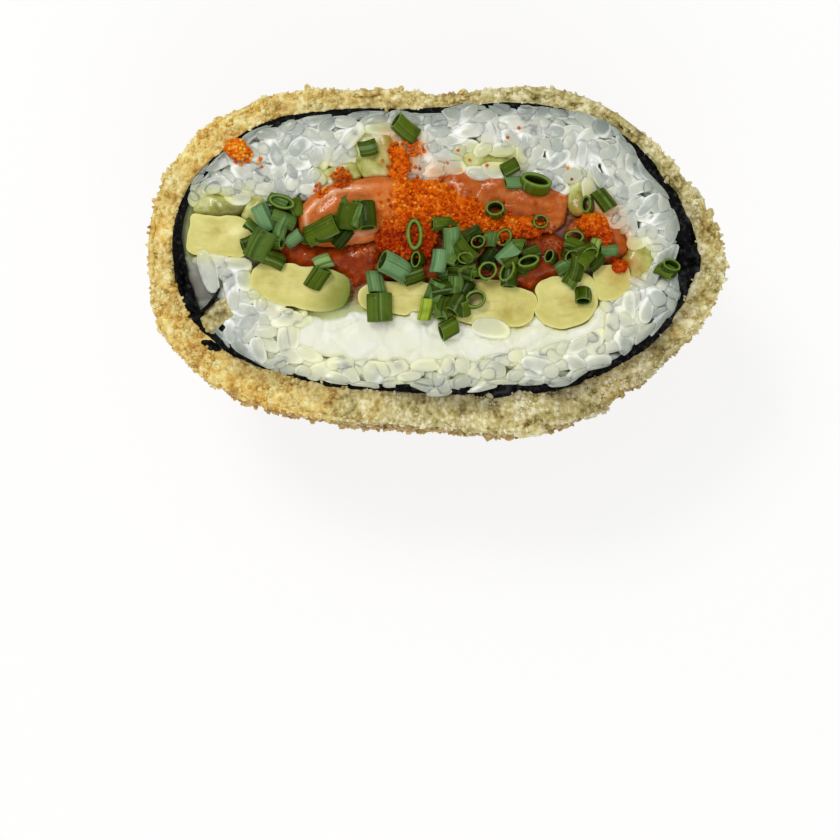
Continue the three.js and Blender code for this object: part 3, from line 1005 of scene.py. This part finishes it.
def fibres(turn, size, bend, fat_side=None):
    """Lines of muscle across a slice of fish: how it rises, and the numbers its material reads.

    fat_side is the way to the end that has a pale line of fat, which follows its outline.
    """

    def wave(spots, middle):
        along, across = (spots - middle) @ way(turn), (spots - middle) @ way(turn + math.pi / 2)
        warp = 1.1 * lumps(spots, 7, 41) + 0.4 * lumps(spots, 2.2, 42)
        return np.sin(2 * math.pi * (across + bend * along**2 / 30 + warp) / size)

    def relief(spots, edge, middle):
        return 0.05 * wave(spots, middle) + 0.35 * lumps(spots, 4, 44) + 0.1 * lumps(spots, 1.4, 43)

    def values(spots, edge, middle):
        fat = np.zeros(len(spots))
        if fat_side is not None:
            to_fat = way(fat_side)
            reach = (spots - middle) @ to_fat / (np.abs(spots - middle) @ np.abs(to_fat)).max()
            line = np.exp(-(((edge - FAT_DEPTH) / FAT_WIDTH) ** 2))
            fat = 0.9 * line * np.clip(0.5 + 2 * reach, 0, 1)
        return {"fibre": 0.5 + 0.5 * wave(spots, middle), "fat": fat}

    return relief, values


def greens(near_roe, side=None, depth=2.0):
    """What avocado and cucumber read: how near roe and the edge, and the skin along one side."""

    def values(spots, edge, middle):
        skin = np.zeros(len(spots))
        if side is not None:
            reach = (spots - middle) @ way(side)
            skin = np.clip(1 - (reach.max() - reach) / depth, 0, 1) ** 1.3
        near = np.clip(read_map(near_roe, spots) * (0.5 + 0.5 * lumps(spots, 3, 56)), 0, 1)
        near_edge = np.exp(-((edge / 2.2) ** 2))
        return {"skin": skin, "edge": np.exp(-edge / 0.4), "near_edge": near_edge, "near_roe": near}

    return values


def make_slices(near_roe):
    """The filling: salmon in three shades, partly its own colour and partly painted shade, darkest for the
    lower slices among the chives; avocado, cucumber and cream cheese.
    """
    # Partly painted shade: the middle and lower looks are darker, the lower ones most, where they lie in
    # shade among the chives.
    upper = salmon_look("salmon_upper", (196, 92, 24), (216, 118, 46), (230, 146, 80), (248, 196, 154))
    middle = salmon_look("salmon_middle", (166, 74, 16), (194, 98, 30), (220, 132, 72), (246, 186, 152))
    lower = salmon_look("salmon_lower", (120, 34, 0), (160, 58, 2), (190, 90, 26), (206, 124, 76))
    fish = {
        "salmon_upper_left": (upper, 0.7, (0, 0.03), 0.25, 2.2, 0.6, math.pi),
        "salmon_upper_right": (middle, 0.2, (0.01, 0.02), 0.0, 2.6, 0.1),
        "salmon_lower_left": (lower, -1.4, (0, 0.02), 0.6, 2.0, 0.5),
        "salmon_lower_middle": (lower, -1.8, (0, 0), -0.1, 2.0, 0.2),
        "salmon_lower_right": (lower, -0.9, (0.01, -0.02), 0.1, 2.2, -0.3),
        "salmon_right": (middle, -0.8, (-0.02, 0), -0.2, 1.8, 0.0),
    }
    for name, (look, level, slope, *lines) in fish.items():
        relief, values = fibres(*lines)
        slice_piece(name, look, "salmon", relief, 0.45, level, slope, 0.9, 1.3, values=values)
    look = avocado_look()
    levels = (0.2, 0.3, -0.3, 0.1, 0.4, 0.0)
    slopes = ((0.02, 0.03), (0, 0.03), (0, 0.02), (0.02, 0.02), (-0.03, 0.02), (0, 0.04))
    for name, level, slope in zip(named("avocado"), levels, slopes):
        values = greens(near_roe, -0.3, 9.0) if name == "avocado_2" else greens(0.6 * near_roe)
        slice_piece(name, look, "avocado", avocado_relief, 0.5, level, slope, 0.3, 0.25, 0.5, True, values)
    look = cucumber_look()
    for k, name in enumerate(named("cucumber")):
        values = greens(near_roe, -1.2, 5.0) if k == 0 else greens(near_roe)
        level = 0.2 * (k % 3) - 0.4
        slice_piece(name, look, "cucumber", cucumber_relief, 0.45, level, (0, 0), 0.6, 0.9, 0.4,
                    values=values)
    slice_piece("cream_cheese", cheese_look(), "cream_cheese", cheese_relief, 0.5, 0.1, (0, 0.01), 1.2,
                1.2, 0.9)


def avocado_relief(spots, edge, middle):
    """Avocado as a knife leaves it: almost flat, with faint drags."""
    return 0.3 * lumps(spots, 5, 57) + 0.12 * lumps(spots * (1, 2.5), 2.2, 58)


def cucumber_relief(spots, edge, middle):
    """Cucumber, a little uneven."""
    return 0.35 * lumps(spots, 2.6, 53)


def cheese_relief(spots, edge, middle):
    """Cream cheese as a knife leaves it: smooth swells, torn into crumbly edges in places."""
    warped = in_space(spots) + 2 * lumps(spots, 5, 54)[:, None]
    swells = 0.5 * lumps(warped, 6, 51) + 0.25 * lumps(warped, 2.4, 52)
    nearest, following = grains(warped, 7, 55)
    return swells - 0.5 * np.exp(-(((following - nearest) / 0.06) ** 2))


def make_loose_crumb():
    """The crumb of coating that fell into the pocket at the left."""

    def relief(spots, edge, middle):
        return crumb_relief(in_space(spots))[0]

    def values(spots, edge, middle):
        return {"relief": crumb_relief(in_space(spots))[1], "soaked": np.full(len(spots), 0.3)}

    slice_piece("loose_crumb", coating_look(0.8), "coating", relief, 0.25, 0.8, (0.06, 0.1), 0.9, 1.2,
                0.5, values=values)


# ---- rice ----

GRAIN_LENGTH = 6.6
GRAIN_WIDTH = 3.5
GRAIN_SIDES = 10
GRAIN_RINGS = 8
GRAIN_TOP = 0.5  # how far grains stand above the cut at most
GRAIN_EASE = 0.9  # over how much of their height they are flattened to that
GRAIN_SQUEEZE = (0.0, 1.0)  # how far they press into the seaweed
# Painted shade: grains are painted greyer the nearer they lie to the seaweed.
WALL_SHADE = 4.5  # how near the seaweed they look greyer
RICE_LAYERS = ((-3.2, 2.8), (-2.0, 2.6), (-1.2, 2.7), (-0.45, 3.1))  # height from the cut, and spacing

# The pocket at the left: its middle, how far it reaches, and how near its middle no grains lie.
POCKET = MIDDLE + (-48.7, -7.2)
POCKET_REACH = 7.0
GRAINLESS = 5.6


def grain_shape():
    """A grain of rice lying along X: blunt at both ends, with a slight dent where its germ was."""
    half = GRAIN_LENGTH / 2
    angles = azimuths_of(GRAIN_SIDES)
    rings = []
    for t in np.linspace(0, math.pi, GRAIN_RINGS + 2)[1:-1]:
        radius = math.sin(t) ** 0.7 * GRAIN_WIDTH / 2
        section = radius * way(angles) * (1, 0.72)
        rings.append(np.column_stack([np.full(GRAIN_SIDES, -math.cos(t) * half), section]))
    points = np.concatenate([*rings, [[-half, 0, 0], [half, 0, 0]]])
    points[:, 1] += 0.3 * (1 - (points[:, 0] / half) ** 2)
    count = GRAIN_RINGS * GRAIN_SIDES
    ends = [fan(np.arange(GRAIN_SIDES)[::-1], count), fan(np.arange(count - GRAIN_SIDES, count), count + 1)]
    return points, np.concatenate([grid_faces(GRAIN_RINGS, GRAIN_SIDES)[:, ::-1], *ends])


def spread(candidates, gap):
    """Of candidate places, in order, those at least a gap from all kept before them."""
    kept = []
    cells = {}
    for place in candidates:
        cell = tuple(np.floor(place[:2] / gap).astype(int))
        near = [k for dx in (-1, 0, 1) for dy in (-1, 0, 1)
                for k in cells.get((cell[0] + dx, cell[1] + dy), ())]
        if all(math.hypot(*(place[:2] - k[:2])) >= gap for k in near):
            kept.append(place)
            cells.setdefault(cell, []).append(place)
    return np.array(kept)


def grain_places(node):
    """Where the grains of a bed lie, and how each is turned so that it keeps inside the bed."""
    shown = map_of(node)
    azimuth, radius = polar(MAP_PLACES)
    inwards = around_ring(SEAWEED_IN, azimuth) - radius
    bed = (nearness(shown, 0.45) > 0) | ((nearness(shown, 2) > 0) & (inwards < 2))
    bed &= (inwards > -0.8) & (np.linalg.norm(MAP_PLACES - POCKET, axis=-1) > GRAINLESS)
    low, high = box_of(node)
    reach = GRAIN_LENGTH * np.linspace(-0.42, 0.42, 5)[None, None, :, None]
    places, yaws = [], []
    for level, gap in RICE_LAYERS:
        candidates = rng.uniform(low[:2] - 1, high[:2] + 1, (9000, 2))
        kept = spread(candidates[read_map(bed, candidates)], gap)
        tried = rng.uniform(0, math.pi, (len(kept), 12))
        room = read_map(bed, kept[:, None, None] + reach * way(tried)[:, :, None]).mean(-1)
        fits = room.max(1) > 0.7
        heights = CUT + level + rng.uniform(-0.4, 0.4, len(kept))
        places.append(raised(kept, heights)[fits])
        yaws.append(tried[np.arange(len(kept)), room.argmax(1)][fits])
    return np.concatenate(places), np.concatenate(yaws)


def make_rice(name, node, look, stains, extra=()):
    """Grains packed over a bed of rice and pressed almost flat at the cut.

    extra grains are (x, y, height from the cut, turn, share of the usual size).
    """
    places, yaws = grain_places(node)
    count = len(places)
    steep = rng.uniform(size=count) < 0.2
    pitches = np.where(steep, rng.uniform(0.5, 1.3, count), rng.normal(0, 0.25, count))
    sizes = rng.uniform((0.8, 0.84, 0.84), (1.12, 1.1, 1.05), (count, 3))
    for x, y, height, turn, share in extra:
        places = np.vstack([places, [*(MIDDLE + (x, y)), CUT + height]])
        yaws, pitches = np.append(yaws, math.radians(turn)), np.append(pitches, 0.1)
        sizes = np.vstack([sizes, [share] * 3])
    count = len(places)
    shape, faces = grain_shape()
    shapes = shape * sizes[:, None]
    matrices = turn_matrices(yaws, pitches, rng.normal(0, 0.7, count))
    points, faces = strewn(shapes, faces, places, matrices)
    crown = (points[:, 2] - for_each_point(places[:, 2], shapes)) / (0.36 * GRAIN_WIDTH)
    points += 0.14 * shifts(points, 1.8, 61)
    above = points[:, 2] - (CUT + GRAIN_TOP - GRAIN_EASE)
    pressed = CUT + GRAIN_TOP - GRAIN_EASE * np.exp(-above / GRAIN_EASE)
    points[:, 2] = np.where(above > 0, pressed, points[:, 2])
    azimuth, radius = polar(points)
    limit = around_ring(SEAWEED_IN, azimuth) + for_each_point(rng.uniform(*GRAIN_SQUEEZE, count), shapes)
    over = radius - (limit - GRAIN_EASE)
    squeezed = limit - GRAIN_EASE * np.exp(-np.maximum(over, 0) / GRAIN_EASE)
    points[:, :2] *= np.where(over > 0, squeezed / radius, 1)[:, None]
    mottle = 0.75 + 0.7 * lumps(points, 4, 81)
    values = {key: read_map(near, points) * mottle for key, near in stains.items()}
    values |= {"crown": crown, "painted_wall_shade": 1 - (limit - radius) / WALL_SHADE}
    values["tint"] = for_each_point(rng.normal(0.5, 0.22, count), shapes)
    values = {key: np.clip(numbers, 0, 1) for key, numbers in values.items()}
    piece(name, points, faces, look, "rice", [node], **values)


CORE_DEPTH = 2.7  # how far below the cut what lies under the grains is
FILLING_RISE = 1.1  # how much higher it stands between the slices
POCKET_RISE = 1.6  # and in the pocket


def pocket_map():
    """Where nothing lies in the cut, about the pocket at the left."""
    about = np.linalg.norm(MAP_PLACES - POCKET, axis=-1) < POCKET_REACH
    return about * (1 - nearness(map_of(*(name for name in NODES if name != "seaweed")), 0.9))


def make_rice_core(look):
    """What lies under the grains and between the slices, all the way across inside the seaweed."""
    pocket = pocket_map()
    maps = {
        "by_salmon": nearness(map_of(*named("salmon")), 4.5), "by_greens": nearness(map_of(*GREENS), 4.0),
        "by_cheese": nearness(map_of("cream_cheese"), 4.0), "pocket": pocket,
    }
    between = 1 - nearness(map_of(*named("salmon"), *GREENS), 0.8)
    among = np.maximum(maps["by_salmon"], maps["by_greens"]) * between
    edge = way(AZIMUTHS) * (SEAWEED_IN - 0.2)[:, None]
    rows = [raised(edge, CUT - INNER_DEPTH)]
    for t in np.linspace(1, 0.02, 40):
        flat = t * edge
        bumps = 0.8 * (0.5 - grains(flat, 3.4, 71)[0])
        bumps += FILLING_RISE * read_map(among, flat) + POCKET_RISE * read_map(pocket, flat)
        rows.append(raised(flat, CUT - CORE_DEPTH + bumps))
    middles = [[0, 0, CUT - CORE_DEPTH], [0, 0, CUT - INNER_DEPTH]]
    points = np.concatenate([*rows, middles])
    ring, count = np.arange(AROUND), len(rows) * AROUND
    ends = [fan(ring + count - AROUND, count), fan(ring[::-1], count + 1)]
    faces = np.concatenate([grid_faces(len(rows), AROUND)[:, ::-1], *ends])
    values = {key: read_map(shown, points) for key, shown in maps.items()}
    piece("rice_core", points, faces, look, "rice", ["rice_upper", "rice_lower"], **values)


# ---- roe ----

EGG = 0.78  # width of an egg
BED_STEP = 0.18  # how finely the bed of eggs is made
BED_SINK = 0.75  # how far it lies below the mounds of the frame
ROE_EDGE = 2.2  # how wide the thin edge of a heap is at most
STRAY = 3.5  # how far single eggs stray from a heap
STREWN = (30.0, 20.0)  # how far from the middle of the cut they may lie, along X and Y

# Eggs that rolled away, from the middle of the cut.
LOOSE_EGGS = (
    (-36.4, 18.8), (-36.1, 17.2), (-46.7, 25.1), (16.1, 25.1), (13.8, 23.2), (3.7, 20.6), (6.1, 18.6),
    (9.6, 17.5), (26.0, 17.0), (26.8, 14.7), (1.6, 17.9), (4.2, 16.6), (-36.9, 18.1), (-10.6, 16.1),
    (33.6, 1.2),
)
# Small flat patches of eggs: x, y, radius and how far their eggs pile up at the middle.
EGG_PATCHES = (
    (-40.2, 19.8, 2.1, 1.4), (-20.0, 14.9, 2.1, 1.0), (-24.2, 12.4, 1.4, 0.6), (-4.6, 21.0, 1.6, 0.8),
    (-9.0, 20.7, 1.4, 0.8),
)


def well_inside(node, points):
    """How far points are inside a mound's outline: 0 outside, 1 from its thin edge inwards."""
    low, high = box_of(node)
    edge = min(ROE_EDGE, 0.16 * (high - low)[:2].min())
    return 1 - read_map(nearness(1 - map_of(node), edge), points)


def egg_places():
    """Places of eggs: strewn over each mound of the frame, and the loose ones."""
    places = []
    for node in named("roe"):
        low, high = box_of(node)
        tries = int(40 * np.prod((high - low)[:2])) + 400
        kept = spread(rng.uniform(low[:2] - 0.5, high[:2] + 0.5, (tries, 2)), 0.9 * EGG)
        kept = kept[rng.uniform(0, 0.8, len(kept)) < well_inside(node, kept)]
        heights = heights_under(tree_of(node), kept)
        on = ~np.isnan(heights)
        places.append(raised(kept[on], heights[on] - 0.45 + rng.uniform(-0.25, 0.2, on.sum())))
    around = MIDDLE + rng.uniform(-1, 1, (2600, 2)) * STREWN
    shares = read_map(nearness(map_of("roe_heap", "roe_clump_right"), STRAY), around)
    strays = spread(around[rng.uniform(size=len(around)) < 0.3 * shares**2], EGG)
    single = np.concatenate([MIDDLE + LOOSE_EGGS, strays])
    places.append(raised(single, heights_under(tree_of(*NODES), single) + 0.3 * EGG))
    bare = tree_of(*(name for name in NODES if name not in named("roe")))
    for *middle, reach, pile in EGG_PATCHES:
        for layer in (0, 1):
            spots = spread(rng.uniform(-reach, reach, (600, 2)), 0.85 * EGG)
            away = np.linalg.norm(spots, axis=1) / reach
            lift = layer * 0.4 * EGG + pile * (1 - away**2)
            spots = MIDDLE + middle + spots
            places.append(raised(spots, heights_under(bare, spots) + 0.3 * EGG + lift)[away < 1])
    places = np.concatenate(places)
    return places[~np.isnan(places[:, 2])]


def make_roe_bed(look):
    """The lower eggs of each heap, fused: a knobbly sheet whose edge dives under the slices."""
    for node in named("roe"):
        low, high = box_of(node)
        xs, ys = (np.arange(low[k] - 0.5, high[k] + 0.5, BED_STEP) for k in range(2))
        flat = np.stack(np.meshgrid(xs, ys, indexing="ij"), -1).reshape(-1, 2)
        heights = heights_under(tree_of(node), flat)
        on = ~np.isnan(heights) & (well_inside(node, flat) > 0.45 + 0.5 * lumps(flat, 2.5, 94))
        cap = np.sqrt(np.clip(1 - (grains(flat, 0.8 * EGG, 95)[0] / 0.75) ** 2, 0, 1))
        top = np.where(np.isnan(heights), CUT - 3, heights - BED_SINK) + np.where(on, 0.45 * EGG * cap, 0)
        index = np.arange(len(flat)).reshape(len(xs), len(ys))
        quads = np.stack([index[:-1, :-1], index[1:, :-1], index[1:, 1:], index[:-1, 1:]], -1)
        used, quads = np.unique(quads[on[quads].any(-1)], return_inverse=True)
        quads = quads.reshape(-1, 4)
        points = raised(flat, top)[used]
        # Painted light and shade: each knob is lighter at its top and darker where it meets the next, with
        # random tone.
        tint = 0.3 + 0.45 * cap[used] + 0.3 * lumps(points, 1.1, 96) + 0.25 * lumps(points, 5, 91)
        piece(node + "_bed", points, halved(quads), look, "roe", tint=np.clip(tint, 0, 1))


def make_roe(look):
    """Separate eggs on the beds, and the loose ones."""
    places = egg_places()
    count = len(places)
    shape, faces = ball(2)
    sizes = EGG / 2 * rng.uniform(0.85, 1.08, (count, 1, 1))
    shapes = shape * sizes * rng.uniform(0.93, 1.04, (count, 1, 3))
    points, faces = strewn(shapes, faces, places, turns(count))
    pale = 0.3 * (places[:, 0] < -30)
    tint = np.clip(rng.normal(0.46, 0.22, count) + 0.3 * lumps(places, 5, 91) + pale, 0, 1)
    piece("roe_eggs", points, faces, look, "roe", named("roe"), tint=for_each_point(tint, shapes))


# ---- chives ----

TUBE_SIDES = 36
LIP_AT = 0.515  # where a tube's rounded lips are, as a share of its length from its middle

# Cut chives on their side: x and y from the middle of the cut, the turn of their length in degrees,
# their length, their width, and their shade from 0, dark, over green and bluish to 1, yellow.
LYING = (
    (-6.9, 24.9, -38, 5.4, 3.8, 0.5), (-14.6, 21.1, 12, 3.6, 3.2, 0.4), (-35.9, 11.2, 60, 3.8, 2.6, 0.42),
    (-35.6, 6.8, 115, 5.6, 3.4, 0.82), (-36.2, 1.2, 62, 6.0, 5.0, 0.6), (-32.0, 4.8, 70, 4.6, 2.8, 0.7),
    (-29.6, 2.6, 35, 3.6, 2.6, 0.78), (-23.9, 4.2, 26, 6.6, 4.4, 0.5), (-18.4, 7.0, 80, 5.2, 4.6, 0.38),
    (-14.8, 7.2, 95, 5.4, 3.8, 0.3), (-16.8, 1.8, 10, 4.6, 4.0, 0.55), (-23.6, -2.2, 20, 3.4, 3.0, 0.9),
    (-24.8, -5.4, 55, 4.6, 3.8, 0.45), (-13, -6.4, 100, 4.4, 3.4, 0.75), (-12.2, -11.4, 92, 5.6, 5.2, 0.56),
    (-9.2, -3.2, -28, 5.8, 4.6, 0.8), (-5.4, -4.8, 20, 4.0, 3.6, 0.35), (1.0, 5.6, 4, 5.2, 2.8, 0.45),
    (2.2, 2.2, 88, 5.4, 3.6, 0.74), (-0.2, -2.0, 80, 4.6, 3.2, 0.82), (6.6, 3.6, 30, 3.8, 2.8, 0.2),
    (10.4, 2.4, 80, 3.0, 2.4, 0.66), (13.8, -0.6, 40, 4.6, 3.2, 0.78), (18.4, -0.2, 20, 3.6, 2.8, 0.3),
    (4.4, -4.4, -10, 5.2, 3.0, 0.25), (-0.8, -8.0, 70, 4.0, 4.0, 0.7), (3.2, -6.8, 85, 3.4, 3.2, 0.64),
    (-2.8, -11.6, 78, 4.6, 2.8, 0.97), (0.2, -11.8, 95, 4.2, 2.6, 0.6), (3.4, -10.8, 60, 4.0, 3.4, 0.3),
    (1.8, -15.6, 30, 3.6, 3.8, 0.52), (15.2, 14.0, 5, 3.8, 2.6, 0.76), (14.2, 17.0, 30, 3.4, 3.0, 0.4),
    (33.2, 10.4, -52, 4.6, 3.2, 0.42), (27.2, 1.4, -20, 3.8, 2.4, 0.45), (25.4, -3.2, 25, 3.6, 2.8, 0.68),
    (26.8, -5.4, 60, 3.6, 3.2, 0.54), (34.4, 0.2, 2, 3.4, 2.4, 0.72), (31.4, 0.6, 75, 3.8, 2.2, 0.93),
    (45.8, -4.0, -25, 3.6, 2.8, 0.55), (29.4, -1.6, 50, 3.6, 3.2, 0.5),
)

# Cut chives on end, which show as rings: x and y, the turn of the ring's long side in degrees, its
# length and its width.
STANDING = (
    (-32.0, 10.0, -16, 5.6, 3.0), (-5.0, 3.4, 92, 6.4, 3.4), (-4.4, -1.8, 80, 3.4, 2.2),
    (7.8, 1.6, 30, 3.0, 2.6), (11.2, 8.2, 10, 3.8, 3.2), (13.0, 2.8, 60, 3.8, 3.0),
    (9.6, -4.0, 40, 4.0, 3.6), (14.0, -4.4, 60, 4.6, 3.0), (18.0, -2.4, 15, 4.6, 2.6),
    (5.2, -0.8, 0, 3.4, 2.8), (7.2, -9.8, 20, 4.4, 3.6), (19.4, 13.6, -12, 6.4, 3.4),
    (20.4, 6.0, 0, 3.2, 2.8), (27.2, 3.0, 0, 4.0, 2.8), (26.4, -0.8, 40, 3.2, 2.8),
    (30.0, 9.4, 80, 3.4, 2.2), (29.0, -9.0, 0, 3.4, 2.4), (22.6, -1.2, 70, 2.8, 2.0),
    (30.2, 0.0, 20, 3.4, 2.6), (46.6, -3.6, -20, 3.8, 2.8), (-16.4, 8.6, 60, 3.4, 2.6),
)


def tube(width, length, wall, flatness, slant):
    """A cut length of chive along X, open at both ends. Also the numbers that its material reads."""
    angles = azimuths_of(TUBE_SIDES)
    ridges = rng.uniform(-1, 1, TUBE_SIDES)
    outer = width / 2 + 0.04 * ridges
    inner = width / 2 - wall
    lip = (outer + inner) / 2
    runs = np.linspace(-0.5, 0.5, 5)
    bend = rng.uniform(-0.25, 0.25)
    rows = [(t, outer, 0, 0) for t in runs] + [(LIP_AT, lip, 0, 1)]
    rows += [(t, inner, 1, 0) for t in runs[::-1]] + [(-LIP_AT, lip, 0, 1)]
    points = []
    for t, radius, _, _ in rows:
        y = radius * np.cos(angles) + bend * (1 - 4 * t * t)
        z = (flatness * outer - (outer - radius)) * np.sin(angles)
        points.append(np.column_stack([t * length + slant * y, y, z]))
    faces = grid_faces(len(rows) + 1, TUBE_SIDES) % (len(rows) * TUBE_SIDES)
    is_inner, is_rim = np.repeat([row[2:] for row in rows], TUBE_SIDES, axis=0).T
    numbers = {"inner": is_inner, "rim": is_rim, "streak": np.tile(0.5 + 0.5 * ridges, len(rows))}
    return np.concatenate(points), faces, numbers


def make_chives(look):
    """Cut chives on the frame's chive mounds and a few on the rice, each resting where it lies."""
    laid = [(*place, False, 0.0) for place in LYING]
    laid += [(*place, rng.uniform(0.2, 0.6), True, 0.0) for place in STANDING]
    laid = [(*(MIDDLE + place[:2]), *place[2:]) for place in laid]
    for node in named("chives"):
        low, high = box_of(node)
        places = spread(rng.uniform(low[:2], high[:2], (300, 2)), 2.9)
        for place in places[~np.isnan(heights_under(tree_of(node), places))]:
            laid.append((*place, *rng.uniform((0, 3, 2.4, 0.05), (180, 5, 3.4, 0.7)), False, 1.7))
    grounds = heights_under(tree_of(*NODES), [place[:2] for place in laid])
    tubes = []
    for (x, y, turn, length, width, shade, on_end, sink), ground in zip(laid, grounds):
        ground = ground - sink
        heaped = ground > CUT + 1.2
        flatness = rng.uniform(0.72, 0.95)
        yaw = math.radians(turn)
        if on_end:
            tall = rng.uniform(2.2, 3.4)
            wall_width = 0.35 + 0.15 * (length - 3)
            shape, faces, numbers = tube(length, tall, wall_width, width / length, rng.normal(0, 0.12))
            yaw -= math.pi / 2
            pitch, roll = math.pi / 2 + rng.normal(0, 0.3), 0.0
            height = ground - rng.uniform(0.05, 0.4) * tall if heaped else ground + 0.35 * tall
        else:
            shape, faces, numbers = tube(width, length, 0.6, flatness, rng.normal(0, 0.12))
            pitch, roll = rng.normal(0, 0.22), rng.normal(0, 0.2)
            height = ground - 0.12 * width if heaped else ground + 0.4 * flatness * width
        numbers["tint"] = np.full(len(shape), shade)
        points = shape @ turn_matrices(yaw, pitch, roll)[0].T + (x, y, height)
        tubes.append((points, faces + len(shape) * len(tubes), numbers))
    points, faces, numbers = zip(*tubes)
    values = {key: np.concatenate([each[key] for each in numbers]) for key in numbers[0]}
    piece("chive_tubes", np.concatenate(points), np.concatenate(faces), look, "chives", named("chives"),
          **values)


# ---- floor, light and camera ----

VIEW_WIDTH = 170.7  # what the camera sees across, at the cut
CAMERA_HEIGHT = 460.0  # above the cut
CAMERA_PLACE = MIDDLE + (-4.0, -34.2)  # so that the half lies in the upper part of the view
FLOOR_SIZE = 6.0  # in metres


def make_stage():
    """The floor, which glows a little so that it shows as plain white."""
    far = FLOOR_SIZE / 2
    mesh = bpy.data.meshes.new("floor")
    mesh.from_pydata([(-far, -far, 0), (far, -far, 0), (far, far, 0), (-far, far, 0)], [], [(0, 1, 2, 3)])
    look = Look("floor", 0.9, 0.1)
    look.shader.inputs["Base Color"].default_value = (0.26, 0.26, 0.26, 1)
    look.shader.inputs["Emission Color"].default_value = (1, 1, 1, 1)
    look.shader.inputs["Emission Strength"].default_value = 0.76
    mesh.materials.append(look.material)
    floor = added("floor", mesh)


def area_light(name, place, target, size, power, colour):
    """A square lamp that faces the target. Places and sizes are in metres."""
    lamp = bpy.data.lights.new(name, "AREA")
    lamp.size = size
    lamp.energy = power
    lamp.color = colour
    made = added(name, lamp)
    made.location = place
    made.rotation_euler = (Vector(target) - Vector(place)).to_track_quat("-Z", "Y").to_euler()


def make_light():
    """Soft light from all round, a key from the back left and a fill from the front."""
    scene = bpy.context.scene
    world = bpy.data.worlds.new("studio")
    world.use_nodes = True
    sky = world.node_tree.nodes["Background"]
    sky.inputs["Color"].default_value = (1, 1, 1, 1)
    sky.inputs["Strength"].default_value = 0.52
    scene.world = world
    target = (0, 0, CUT * MM)
    area_light("key", (-0.3, 0.42, 0.9), target, 0.25, 3.2, (1.0, 0.99, 0.96))
    area_light("fill", (0.1, -0.6, 0.8), target, 0.6, 1.8, (1.0, 1.0, 0.99))
    scene.view_settings.view_transform = "Standard"
    scene.view_settings.look = "None"


def make_camera():
    """Straight above, looking down at the cut."""
    data = bpy.data.cameras.new("camera")
    data.sensor_width = 36
    data.lens = data.sensor_width * CAMERA_HEIGHT / VIEW_WIDTH
    data.clip_start = 0.01
    made = added("camera", data)
    made.location = raised([CAMERA_PLACE], CUT + CAMERA_HEIGHT)[0] * MM
    bpy.context.scene.camera = made


# ---- the whole ----


# Grains that lie alone: x and y from the middle of the cut, height above it, turn, share of the
# usual size.
SINGLE_GRAINS = ((-47.0, -4.0, 0.5, 107, 1.4), (-42.4, -16.1, 0.0, 95, 0.85), (10.4, -15.8, 0.9, -12, 1.2))

make_camera()
make_light()
make_stage()

crust = coating_look()
coating_top, coating_sides = make_coating(crust)
make_crumbs(coating_top, coating_sides, crust)
make_flakes(coating_top, crust)
make_loose_crumb()
black = seaweed_look()
make_seaweed(black)
make_flap(black)
near_roe = nearness(map_of("roe_heap", "roe_clump_right", "roe_clump_low"), 4.5)
make_slices(near_roe)
rice = rice_look()
stains = {  # how much what lies beside the rice has coloured it
    "near_roe": near_roe,
    "near_greens": 0.8 * nearness(map_of(*GREENS), 2.6),
    "near_cheese": nearness(map_of("cream_cheese"), 9.5),
}
make_rice("rice_grains_upper", "rice_upper", rice, stains)
make_rice("rice_grains_lower", "rice_lower", rice, stains, SINGLE_GRAINS)
make_rice_core(rice_core_look())
roe = roe_look()
make_roe_bed(roe)
make_roe(roe)
make_chives(chive_look())
